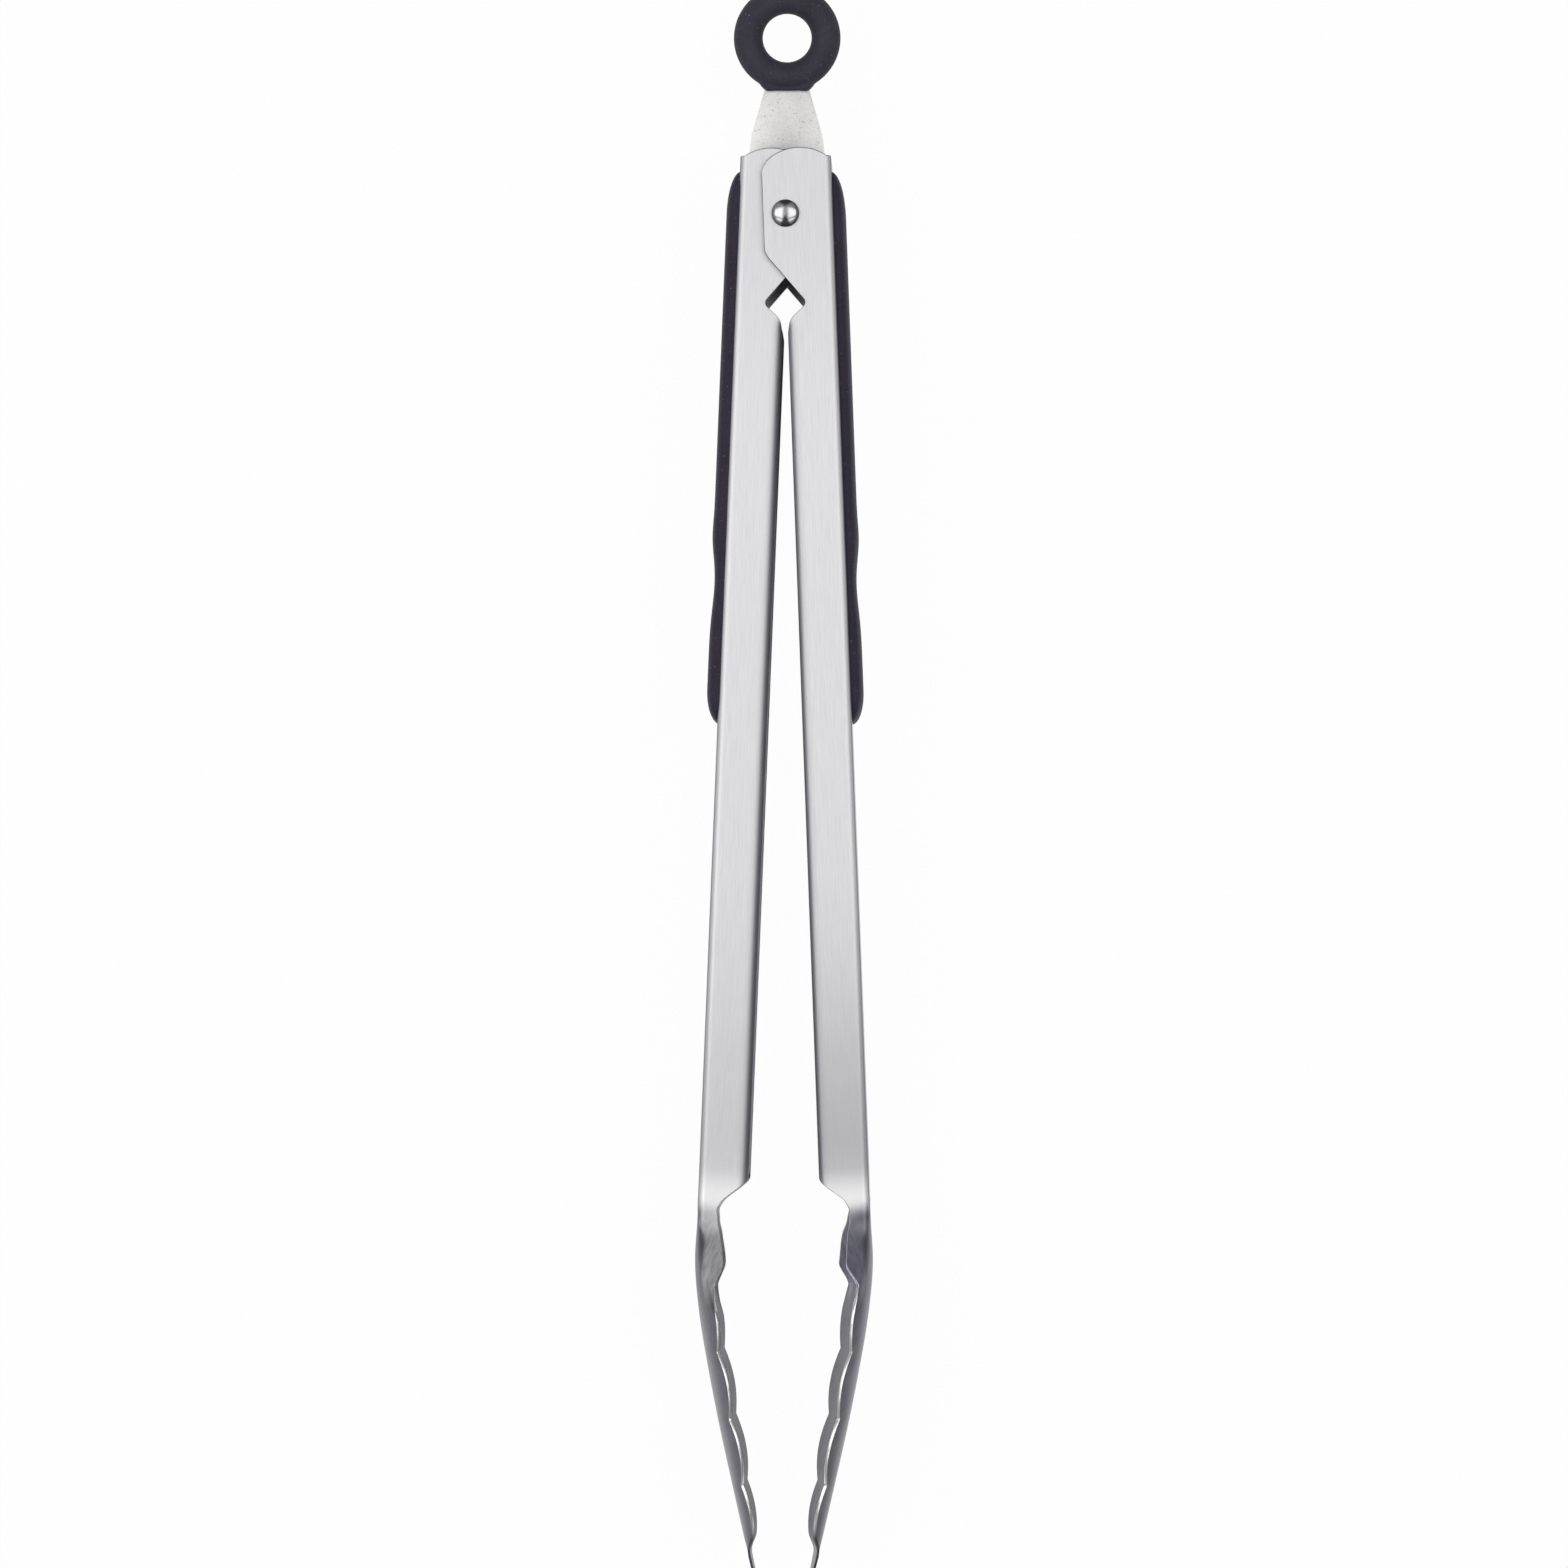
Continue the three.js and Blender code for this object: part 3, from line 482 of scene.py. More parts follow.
def unbrushed(arm, y, girth):
    """1 where painted shade darkens the steel: over the bends beside the web, and round the rolled
    lip.
    """
    beyond_web = girth - web_girth(arm)
    from_flange = math.pi / 2 - np.clip(beyond_web / BEND_RADIUS, 0, math.pi / 2)
    bend = smooth_step(*BEND_SHADE_TURNS, from_flange) * smooth_step(-1.5, 0, beyond_web)
    into_lip = np.clip((girth - lip_girth(arm) + LIP_SHADE_LEAD) / arm["lip"], 0, math.pi / 2)
    rolled = smooth_step(0, 3, LIP_START - y)
    return np.maximum(bend, LIP_SHADE * smooth_step(0, LIP_SHADE_TURN, into_lip) * rolled)


def crease_at(y):
    """Girth beyond the web's flat where the head's back is pressed into its flange."""
    return CREASE_INNER + CREASE_SPREAD * (1 - math.exp(-max(CREASE_START - y, 0) / CREASE_RUN))


def on_flange_side(y, beyond_web):
    """0 on the web's side of the crease and 1 on the flange's."""
    crease = crease_at(y)
    return smooth_step(crease - CREASE_HALF_WIDTH, crease + CREASE_HALF_WIDTH, beyond_web)


def dulled(arm, y, beyond_web):
    """1 where painted shade darkens the skin: the ears and the lower shafts, and the head's back by
    the neck.
    """
    shaft = arm["shaft_shade_depth"] * smooth_step(*SHAFT_SHADE_SPAN, y) + EAR_SHADE_DEPTH * smooth_step(*EAR_SHADE_SPAN, y)
    back = (1 - on_flange_side(y, beyond_web)) * smooth_step(*BACK_SHADE_SPAN, y)
    on_head = smooth_step(*HEAD_SKIN, y)
    return (1 - on_head) * shaft + on_head * arm["web_shade"] * back


def burnished(arm, y, beyond_web, inner):
    """1 where a painted highlight brightens the steel: a band at the neck, and the flanges beside it.
    """
    neck = smooth_step(*NECK_HIGHLIGHT_SPAN[0], y) * smooth_step(*NECK_HIGHLIGHT_SPAN[1], y)
    flange = on_flange_side(y, beyond_web) * smooth_step(0, FLANGE_HIGHLIGHT_RUN, arm["flange_highlight_start"] - y)
    return neck + np.where(inner, 1, arm["rub"]) * flange * smooth_step(*FLANGE_HIGHLIGHT_SPAN, y)


def loop_of(arm, edge, inset):
    """One turn round the sheet as (girth, height in the sheet): outer face, rim, inner face, rim."""
    half = half_row(arm, edge - inset)
    outer = np.concatenate([-half[:0:-1], half])
    round_off = max(CUT_EDGE_RADIUS - inset, 0.01)
    low, high = inset, SHEET - inset
    rim_edge = edge - inset
    share = ARC_SHARE * round_off
    rim = [
        (rim_edge - share, low + share),
        (rim_edge, low + round_off),
        (rim_edge, SHEET / 2),
        (rim_edge, high - round_off),
        (rim_edge - share, high - share),
    ]
    girth = np.concatenate([outer, [g for g, _ in rim], outer[::-1], [-g for g, _ in rim[::-1]]])
    height = np.concatenate([np.full(len(outer), low), [h for _, h in rim]])
    height = np.concatenate([height, np.full(len(outer), high), [h for _, h in rim[::-1]]])
    return girth, height, len(outer)


ARM_MARKS = ("head", "cut_edge", "toward_rim", "inside")
ARM_MARKS += ("unbrushed", "burnished", "dulled", "darker_rim")
RIM_POINTS = 5  # points round the cut edge in each row
INNER_MAP_SHIFT = 60.0  # keeps the inner face's map clear of the outer face's
ALONG_STEP, AROUND_STEP = 0.05, 0.02  # short steps that measure the sheet's slope


def arm_sheet(arm):
    """The whole stamping as a closed sheet with rounded cut edges: points, faces, map and marks."""
    side = arm["side"]
    radius, share = CUT_EDGE_RADIUS, ARC_SHARE * CUT_EDGE_RADIUS
    rows = [(WEB_TOP, radius), (WEB_TOP - share, share), (WEB_TOP - radius, 0)]
    rows += [(y, 0) for y in arm_rows()]
    rows += [(TIP_END + share, share), (TIP_END, radius)]
    points, maps, marks = [], [], {}
    for y, inset in rows:
        edge = free_edge(arm, y)
        girth, height, columns = loop_of(arm, edge, inset)
        here = outer_face(arm, y, girth)
        along = outer_face(arm, y - ALONG_STEP, girth) - outer_face(arm, y + ALONG_STEP, girth)
        around = outer_face(arm, y, girth + AROUND_STEP) - outer_face(arm, y, girth - AROUND_STEP)
        normal = np.cross(along, around) * side
        normal /= np.linalg.norm(normal, axis=1)[:, None]
        inward = np.abs(girth) - flange_girth(arm, 0)
        fall = 1 - smooth_step(0, EAR_FALL, WEB_TOP - y)
        here[:, 1] += np.where(inward > EAR_START, (ear_top(inward) - WEB_TOP) * fall, 0)
        coined = TIP_COINING * smooth_step(*COINED_FROM, y)
        points.append(here + normal * (SHEET / 2 + (height - SHEET / 2) * (1 - coined))[:, None])
        inner = height > SHEET / 2
        maps.append(np.stack([girth + INNER_MAP_SHIFT * inner, here[:, 1]], 1))
        beyond_web = np.abs(girth) - web_girth(arm)
        pressed = HEAD_RISE_START + PRESS_LINE_LEAD - PRESS_LINE_SLANT * np.maximum(beyond_web, 0) - y
        # the cut edges' painted light fades out before the tip
        bright = 1 - smooth_step(*EDGE_LIGHT_FADE, y)
        row_marks = {
            # most of the change comes at the press line, the rest over the next 15 mm
            "head": 0.85 * smooth_step(0, 4.5, pressed) + 0.15 * smooth_step(3, 15, pressed),
            "cut_edge": bright * ((height > 0.01) & (height < SHEET - 0.01)),
            "toward_rim": np.clip(np.abs(girth) / edge, 0, 1),
            "inside": inner,
            "unbrushed": unbrushed(arm, y, np.abs(girth)),
            "burnished": burnished(arm, y, beyond_web, inner),
            "dulled": dulled(arm, y, beyond_web),
            "darker_rim": np.full_like(girth, arm["darker_rim"]),
        }
        for label, values in row_marks.items():
            marks.setdefault(label, []).append(values)
    around_count = len(points[0])
    faces = [quad[::-1] if side > 0 else quad for quad in loop_quads(len(rows), around_count)]
    for row, flip in ((0, side > 0), (len(rows) - 1, side < 0)):
        base = row * around_count
        inner_end = 2 * columns + RIM_POINTS - 1
        for i in range(columns - 1):
            quad = [base + i, base + i + 1, base + inner_end - i - 1, base + inner_end - i]
            faces.append(quad[::-1] if flip else quad)
        right = [base + k for k in range(columns - 1, columns + RIM_POINTS + 1)]
        left = [base + k % around_count for k in range(inner_end, inner_end + RIM_POINTS + 2)]
        faces += [right[::-1], left[::-1]] if flip else [right, left]
    marks = {label: np.concatenate(values) for label, values in marks.items()}
    return leaned(np.concatenate(points), side), faces, np.concatenate(maps), marks


# ---- shapes that several pieces use


def rounded(outline, radii, steps):
    """A closed outline of points, with each corner turned into an arc of its own radius."""
    made = []
    count = len(outline)
    for i, (corner, radius) in enumerate(zip(outline, radii)):
        here = np.asarray(corner, float)
        back = np.asarray(outline[i - 1], float) - here
        ahead = np.asarray(outline[(i + 1) % count], float) - here
        back_length, ahead_length = np.linalg.norm(back), np.linalg.norm(ahead)
        back, ahead = back / back_length, ahead / ahead_length
        half = math.acos(np.clip(back @ ahead, -1, 1)) / 2
        if radius <= 0 or half > math.radians(89):
            made.append(here)
            continue
        run = min(radius / math.tan(half), 0.49 * min(back_length, ahead_length))
        radius = run * math.tan(half)
        centre = here + (back + ahead) / np.linalg.norm(back + ahead) * radius / math.sin(half)
        first = here + back * run - centre
        last = here + ahead * run - centre
        sweep = math.pi - 2 * half
        for k in range(steps + 1):
            t = k / steps
            blend = (math.sin((1 - t) * sweep) * first + math.sin(t * sweep) * last) / math.sin(sweep)
            made.append(centre + blend)
    return np.array(made)


def turned(profile, segments=96):
    """A lathe piece about the rivet's axis: (radius, height) from one end of the axis to the other."""
    points, rings = [], []
    for radius, height in profile:
        if radius < 1e-4:
            rings.append([len(points)])
            points.append((0, 0, height))
            continue
        rings.append(list(range(len(points), len(points) + segments)))
        turn = np.arange(segments) * 2 * math.pi / segments
        points += list(zip(radius * np.cos(turn), radius * np.sin(turn), np.full(segments, height)))
    faces = []
    for low, high in zip(rings, rings[1:] if len(rings[0]) == 1 else rings[1:] + rings[:1]):
        for i in range(segments):
            j = (i + 1) % segments
            if len(low) == 1:
                faces.append([low[0], high[j], high[i]])
            elif len(high) == 1:
                faces.append([low[i], low[j], high[0]])
            else:
                faces.append([low[i], low[j], high[j], high[i]])
    return np.array(points, float), faces


def outward(made):
    """Turns every face of a closed piece outwards."""
    shape = bmesh.new()
    shape.from_mesh(made.data)
    bmesh.ops.recalc_face_normals(shape, faces=shape.faces)
    if shape.calc_volume(signed=True) < 0:
        bmesh.ops.reverse_faces(shape, faces=shape.faces)
    shape.to_mesh(made.data)
    shape.free()
    return made


def settled(made):
    """Makes the result of a piece's modifiers its own mesh."""
    bpy.context.view_layer.update()
    evaluated = made.evaluated_get(bpy.context.evaluated_depsgraph_get())
    result = bpy.data.meshes.new_from_object(evaluated)
    result.name = made.name
    made.modifiers.clear()
    made.data = result
    return made


# ---- finishes


def linear(value):
    """An sRGB hex colour as the linear values that a shader takes."""
    channels = [int(value[i : i + 2], 16) / 255 for i in (1, 3, 5)]
    return [c / 12.92 if c <= 0.04045 else ((c + 0.055) / 1.055) ** 2.4 for c in channels] + [1.0]


def add_node(tree, kind, links=None, **settings):
    """Adds a node with its settings. links maps an input to a value or to another node's output."""
    made = tree.nodes.new(kind)
    for setting, value in settings.items():
        setattr(made, setting, value)
    for key, value in (links or {}).items():
        if isinstance(value, bpy.types.NodeSocket):
            tree.links.new(value, made.inputs[key])
        else:
            made.inputs[key].default_value = value
    return made


def built_up_finish(name, even, patterns, ranges, colours, relief=None, marks=()):
    """A finish built up from tables. Each row works out something whose label later rows can use.

    even: the shader's even values. marks: the marks that the piece's points carry.
    patterns: label, size of a patch in mm (or its width and length on the piece's map), detail and
    roughness of a soft noise, which mostly lies from 0.3 to 0.7.
    ranges: label, what is taken, from which range, and to which.
    colours: label, share, and the two colours or labels between which it lies.
    relief: what the bump follows, and its depth in mm.
    The labels "colour" and "rough" go to the shader."""
    made = bpy.data.materials.new(name)
    made.use_nodes = True
    tree = made.node_tree
    shader = tree.nodes["Principled BSDF"]
    for quality, value in even.items():
        shader.inputs[quality].default_value = value
    given = {}
    for label in marks:
        given[label] = add_node(tree, "ShaderNodeAttribute", attribute_name=label).outputs["Fac"]
    place = add_node(tree, "ShaderNodeTexCoord").outputs["Object"]
    in_mm = {"Vector": place, "Scale": (1 / MM,) * 3}
    in_mm = add_node(tree, "ShaderNodeMapping", in_mm).outputs[0]
    if any(isinstance(size, tuple) for _, size, *_ in patterns):
        surface = add_node(tree, "ShaderNodeUVMap", uv_map="surface_mm").outputs[0]
    for label, size, detail, coarseness in patterns:
        noise = {"Vector": in_mm, "Detail": detail, "Roughness": coarseness}
        if isinstance(size, tuple):
            stretch = {"Vector": surface, "Scale": (1 / size[0], 1 / size[1], 1)}
            noise["Vector"] = add_node(tree, "ShaderNodeMapping", stretch).outputs[0]
            noise["Scale"] = 1
        else:
            noise["Scale"] = 1 / size
        given[label] = add_node(tree, "ShaderNodeTexNoise", noise).outputs["Fac"]
    for label, taken, low, high, to_low, to_high in ranges:
        span = {"Value": given[taken], "From Min": low, "From Max": high}
        span.update({"To Min": to_low, "To Max": to_high})
        given[label] = add_node(tree, "ShaderNodeMapRange", span).outputs[0]
    for label, share, *pair in colours:
        first, second = [linear(c) if c[0] == "#" else given[c] for c in pair]
        mix = {0: given[share], 6: first, 7: second}
        given[label] = add_node(tree, "ShaderNodeMix", mix, data_type="RGBA").outputs[2]
    tree.links.new(given["colour"], shader.inputs["Base Color"])
    tree.links.new(given["rough"], shader.inputs["Roughness"])
    if relief:
        followed, depth = relief
        bump = {"Height": given[followed], "Distance": depth * MM}
        tree.links.new(add_node(tree, "ShaderNodeBump", bump).outputs[0], shader.inputs["Normal"])
    return made, given


def brushed_stainless_steel():
    """Type 304 sheet brushed along the arm before stamping. The scratches spread light across the
    arm and not along it, so the flats look even and the bends shade off softly. Fine lengthwise
    streaks differ a little in grey. The pressed heads lose the brushing and are painted darker, a
    painted shade that deepens towards their rims, over their hollows and on the right arm. The bends
    and lips, the lower shafts and the ears carry painted shade too, the neck and the heads' flanges a
    painted highlight, and the cut edges a painted dark line that turns bright on the heads.

    A real scratch is some 0.03 mm wide. The streaks are drawn 0.28 mm wide, to show at all."""
    made, given = built_up_finish(
        "brushed_stainless_steel",
        {"Metallic": 1.0},
        patterns=[
            ("fine_streak", (0.28, 8), 3, 0.6),
            ("broad_streak", (1.4, 45), 2, 0.5),
            ("scuff", (0.7, 3), 4, 0.65),
            ("cloud", 5.0, 3, 0.6),
        ],
        ranges=[
            ("fine_share", "fine_streak", 0.3, 0.7, 0, 1),
            ("broad_share", "broad_streak", 0.35, 0.65, 0, 0.12),
            # how far towards the rim the heads' painted shade has come
            ("rim_share", "toward_rim", 0.15, 0.85, 0, 1),
            ("cloud_share", "cloud", 0.3, 0.7, 0, 0.3),
            ("scuff_share", "scuff", 0.42, 0.66, 0, 0.4),
            ("rough", "fine_streak", 0.3, 0.7, 0.36, 0.44),
            ("head_rough", "burnished", 0, 1, 0.42, 0.64),
            ("brushing", "head", 0, 1, 0.8, 0),
        ],
        colours=[
            ("brushed", "fine_share", "#c8c7ca", "#d6d6d8"),
            ("brushed", "broad_share", "brushed", "#d6d5d7"),
            # painted shade on the lower shaft and on the ears
            ("brushed", "dulled", "brushed", "#9a9a9f"),
            # painted highlight: a band at the neck
            ("brushed", "burnished", "brushed", "#e6e6e6"),
            # painted shade over the bends and round the rolled lip
            ("brushed", "unbrushed", "brushed", "#78777e"),
            # darker_rim picks the darker, shaded copy of a colour for the right arm
            # painted shade on the heads: their colours are darker than the shafts'
            ("rim", "darker_rim", "#5a5863", "#3a3844"),
            ("wall", "darker_rim", "#b1b0b4", "#b2b0bb"),
            # painted highlight colour for the heads' flanges
            ("rubbed", "darker_rim", "#cfcecf", "#cacade"),
            # darker towards the rim: painted shade
            ("tumbled", "rim_share", "wall", "rim"),
            ("tumbled", "cloud_share", "tumbled", "#85838c"),
            # painted shade over the hollow's inner face
            ("tumbled", "inside", "tumbled", "#807f84"),
            # painted shade on the head's back beside the crease
            ("tumbled", "dulled", "tumbled", "#53515b"),
            # painted highlight on the heads' flanges
            ("tumbled", "burnished", "tumbled", "rubbed"),
            ("tumbled", "scuff_share", "tumbled", "#55535e"),
            ("skin", "head", "brushed", "tumbled"),
            # painted light on the cut edges: a painted dark line along the shafts, darker on the right
            # arm, and a painted highlight on the heads
            ("shaft_edge", "darker_rim", "#85848b", "#45444b"),
            ("sheared", "head", "shaft_edge", "#f0f0f1"),
            ("colour", "cut_edge", "skin", "sheared"),
        ],
        relief=("fine_streak", 0.002),
        marks=ARM_MARKS,
    )
    tree = made.node_tree
    rough = {0: given["head"], 2: given["rough"], 3: given["head_rough"]}
    rough = add_node(tree, "ShaderNodeMix", rough).outputs[0]
    rough = add_node(tree, "ShaderNodeMix", {0: given["cut_edge"], 2: rough, 3: 0.28}).outputs[0]
    across = {"direction_type": "UV_MAP", "uv_map": "surface_mm"}
    across = add_node(tree, "ShaderNodeTangent", **across).outputs[0]
    qualities = {"Roughness": rough, "Anisotropic": given["brushing"], "Tangent": across}
    for quality, value in qualities.items():
        tree.links.new(value, tree.nodes["Principled BSDF"].inputs[quality])
    return made


def rolled_sheet_steel():
    """Cold rolled stainless sheet left as it was punched: even, matte and pale, with faint clouds
    and small dark pits from handling."""
    return built_up_finish(
        "rolled_sheet_steel",
        {"Metallic": 1.0},
        patterns=[("cloud", 3.0, 3, 0.6), ("pit", 0.6, 2, 0.5), ("speck", 0.3, 1, 0.5)],
        ranges=[
            ("cloud_share", "cloud", 0.3, 0.7, 0, 1),
            ("speck_share", "speck", 0.55, 0.7, 0, 0.35),
            ("pit_share", "pit", 0.63, 0.71, 0, 0.45),
            ("rough", "cloud", 0.3, 0.7, 0.4, 0.5),
        ],
        colours=[
            ("sheet", "cloud_share", "#dcdbda", "#e7e6e4"),
            ("sheet", "speck_share", "sheet", "#a9a8aa"),
            ("colour", "pit_share", "sheet", "#8f8e90"),
        ],
        relief=("cloud", 0.006),
    )[0]


def polished_rivet_steel():
    """Stainless rivet, its head formed and then buffed from side to side: a soft grey mirror, with
    painted shade at the rim and at the dome's upper and lower ends. Its wiping marks, finer than a
    hair, are drawn 0.5 mm wide, to show at all."""
    return built_up_finish(
        "polished_rivet_steel",
        {"Metallic": 1.0},
        patterns=[("wiping", 0.5, 4, 0.6)],
        ranges=[("rough", "wiping", 0.3, 0.7, 0.16, 0.26)],
        colours=[
            ("buffed", "wiping", "#bcbcc0", "#cacacd"),
            # painted shade at the rim and at the dome's ends
            ("colour", "rim", "buffed", "#2e2c35"),
        ],
        relief=("wiping", 0.003),
        marks=("rim",),
    )[0]


def drawn_spring_wire():
    """Hard drawn stainless wire: a satin skin, a little darker than sheet. Its draw marks, some
    0.02 mm wide, are drawn as 0.35 mm patches, to show at all."""
    return built_up_finish(
        "drawn_spring_wire",
        {"Metallic": 1.0},
        patterns=[("draw_mark", 0.35, 3, 0.6), ("cloud", 2.5, 2, 0.5)],
        ranges=[
            ("cloud_share", "cloud", 0.4, 0.7, 0, 0.5),
            ("rough", "draw_mark", 0.3, 0.7, 0.24, 0.36),
        ],
        colours=[
            ("wire", "draw_mark", "#a5a6a8", "#bcbdbe"),
            ("colour", "cloud_share", "wire", "#93918f"),
        ],
    )[0]


def tumbled_washer_steel():
    """Punched stainless washer, tumbled after punching: satin, with small tumbling marks."""
    return built_up_finish(
        "tumbled_washer_steel",
        {"Metallic": 1.0},
        patterns=[("tumbling", 0.7, 3, 0.7)],
        ranges=[("rough", "tumbling", 0.3, 0.7, 0.32, 0.45)],
        colours=[("colour", "tumbling", "#b5b5b6", "#cecece")],
        relief=("tumbling", 0.01),
    )[0]


def soft_touch_rubber(name, dark, light, dust, grain):
    """Thermoplastic rubber moulded in an eroded tool: matte black with a cold violet cast, a fine
    leathery grain that kills the shine, and a few pale dust specks. The real grain, some 0.1 mm,
    is drawn as coarse as it needs to show."""
    return built_up_finish(
        name,
        {"IOR": 1.48},
        patterns=[("cloud", 7.0, 3, 0.6), ("grain", grain, 2, 0.6), ("speck", 0.45, 0, 0.5)],
        ranges=[
            ("cloud_share", "cloud", 0.3, 0.7, 0, 1),
            ("dust_share", "speck", 0.79, 0.86, 0, 0.5),
            ("rough", "grain", 0.3, 0.7, 0.62, 0.8),
        ],
        colours=[
            ("rubber", "cloud_share", dark, light),
            ("colour", "dust_share", "rubber", dust),
        ],
        relief=("grain", 0.03),
    )[0]


def moulded_nylon():
    """Glass filled black nylon, moulded: a dry semi-matte skin with faint flow clouds. Its fibres,
    0.01 mm thick, are drawn as 0.3 mm patches, to show at all."""
    return built_up_finish(
        "moulded_black_nylon",
        {"IOR": 1.53},
        patterns=[("flow", 3.0, 4, 0.65), ("fibre", 0.3, 2, 0.5)],
        ranges=[("rough", "fibre", 0.3, 0.7, 0.42, 0.6)],
        colours=[("colour", "flow", "#19191b", "#26262a")],
        relief=("fibre", 0.01),
    )[0]


STAINLESS = brushed_stainless_steel()
SLIDE_STEEL = rolled_sheet_steel()
RIVET_STEEL = polished_rivet_steel()
SPRING_WIRE = drawn_spring_wire()
WASHER_STEEL = tumbled_washer_steel()
GRIP_RUBBER = soft_touch_rubber("moulded_grip_rubber", "#1f192c", "#2a2339", "#85838c", 0.35)
RING_RUBBER = soft_touch_rubber("moulded_ring_rubber", "#2b2834", "#363341", "#8b8992", 0.5)
NYLON = moulded_nylon()


# ---- the two arms


def bar(radius, half_length):
    """Profile of a round bar, centred on the mid-plane."""
    return [(0, -half_length), (radius, -half_length), (radius, half_length), (0, half_length)]


def hole_cutter(arm):
    """Round bars where the arm is drilled: through both ears, and through the web for the studs."""
    through_ears, through_web = 20, 3
    bars = [turned(bar(RIVET_HOLE, through_ears), 64)]
    for y in STUDS_AT:
        points, faces = turned(bar(STUD_HOLE, through_web), 48)
        x = points[:, 2] + arm["side"] * WEB_OFFSET
        bars.append((np.stack([x, points[:, 1] + y, points[:, 0]], 1), faces))
    points, faces = joined(bars)
    return outward(piece(f"cutter_{arm['body']}", leaned(points, arm["side"]), faces, STAINLESS))


def stamped_arm(label):
    """One arm: the sheet as the press leaves it, then drilled."""
    arm = ARMS[label]
    points, faces, surface, marks = arm_sheet(arm)
    made = piece(f"{label}_arm_stamping", points, faces, STAINLESS, surface, marks)
    cutter = hole_cutter(arm)
    drilling = made.modifiers.new("drilled_holes", "BOOLEAN")
    drilling.object = cutter
    drilling.solver = "EXACT"
    settled(made)
    bpy.data.objects.remove(cutter)
    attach(made, arm["body"])
    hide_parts(f"{label}_arm")


for side_name in ARMS:
    stamped_arm(side_name)


# ---- grips


def grip_stand(y):
    """How far the pad stands out from the web: full rounded ends, a hollow for the fingers, and a
    low stop for them above it."""
    rise = np.sqrt(1 - (1 - np.clip((GRIP_TOP - y) / GRIP_TOP_ROUND, 0, 1)) ** 2)
    end = np.sqrt(1 - (1 - np.clip((y - GRIP_FOOT) / GRIP_FOOT_ROUND, 0, 1)) ** 2)
    hollow = GROOVE_DEPTH * np.exp(-GROOVE_TIGHTNESS * ((y - GROOVE_AT) / GROOVE_HALF_LENGTH) ** 2)
    stop = FINGER_STOP_HEIGHT * np.exp(-(((y - FINGER_STOP_AT) / FINGER_STOP_HALF_LENGTH) ** 2))
    return (GRIP_HEIGHT - hollow + stop) * rise * end


def grip_pad(arm):
    """A crowned pad along the web, its edges drawn down round the bends."""
    side, flat = arm["side"], web_girth(arm)
    ends = 1 - np.cos(np.linspace(0, math.pi / 2, 19))
    top = GRIP_TOP - GRIP_TOP_ROUND * ends
    foot = GRIP_FOOT + GRIP_FOOT_ROUND * ends[::-1]
    middle_rows = np.linspace(top[-1], foot[0], 90)[1:-1]
    rows = np.concatenate([top, middle_rows, foot])
    turn = np.linspace(0, math.pi, 41)
    spread = np.sign(np.cos(turn)) * np.abs(np.cos(turn)) ** GRIP_POWERS[0]
    lift = np.sin(turn) ** GRIP_POWERS[1]
    base = np.linspace(-1, 1, 22)[1:-1]
    across = np.concatenate([spread, base])
    height = np.concatenate([lift, np.zeros(len(base))])
    points = []
    for y in rows:
        into = min((GRIP_TOP - y) / GRIP_CORNER, (y - GRIP_FOOT) / GRIP_CORNER, 1)
        inset = GRIP_CORNER_INSET * (1 - math.sqrt(max(1 - (1 - max(into, 0)) ** 2, 0)))
        z = (GRIP_HALF_WIDTH - inset) * across
        drop = np.maximum(np.abs(z) - flat, 0)
        seat = GRIP_SEAT - (BEND_RADIUS - np.sqrt(BEND_RADIUS**2 - drop**2))
        x = np.where(height > 0, np.maximum(grip_stand(y) * height, seat + GRIP_RIM), seat)
        points.append(np.stack([side * (WEB_OFFSET + x), np.full_like(z, y), z], 1))
    count = len(across)
    faces = [[a, d, c, b] for a, b, c, d in loop_quads(len(rows), count)]
    faces.append(list(range(count)))
    faces.append(list(range((len(rows) - 1) * count, len(rows) * count)))
    return leaned(np.concatenate(points), side), faces


def snap_stud(arm, y):
    """A nylon stud through the web, with a snap head behind it."""
    behind = -SHEET - STUD_GAP
    profile = [
        (0, behind - STUD_HEAD_HEIGHT),
        (STUD_HEAD_RADIUS - 1.0, behind - STUD_HEAD_HEIGHT),
        (STUD_HEAD_RADIUS - 0.15, behind - 0.35),
        (STUD_HEAD_RADIUS, behind - 0.18),
        (STUD_HEAD_RADIUS, behind),
        (STUD_RADIUS, behind),
        (STUD_RADIUS, STUD_LENGTH),
        (0, STUD_LENGTH),
    ]
    points, faces = turned(profile, 48)
    x = arm["side"] * (points[:, 2] + WEB_OFFSET)
    return np.stack([x, points[:, 1] + y, points[:, 0]], 1), faces


for side_name, arm in ARMS.items():
    points, faces = grip_pad(arm)
    pad = outward(piece(f"{side_name}_grip_pad", points, faces, GRIP_RUBBER, crease=60))
    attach(pad, arm["body"])
    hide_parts(f"{side_name}_grip")
    points, faces = joined([snap_stud(arm, y) for y in STUDS_AT])
    points = leaned(points, arm["side"])
    studs = outward(piece(f"{side_name}_grip_studs", points, faces, NYLON, crease=35))
    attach(studs, arm["body"])
    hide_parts(f"{side_name}_grip_core")


# ---- hinge pieces


def lathe_piece(name, profile, radii, finish, node):
    """A lathe piece that replaces a plain node, its corners rounded by the given radii."""
    points, faces = turned(rounded(profile, radii, 5))
    made = outward(piece(name, points, faces, finish, crease=40))
    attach(made, "hinge")
    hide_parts(node)


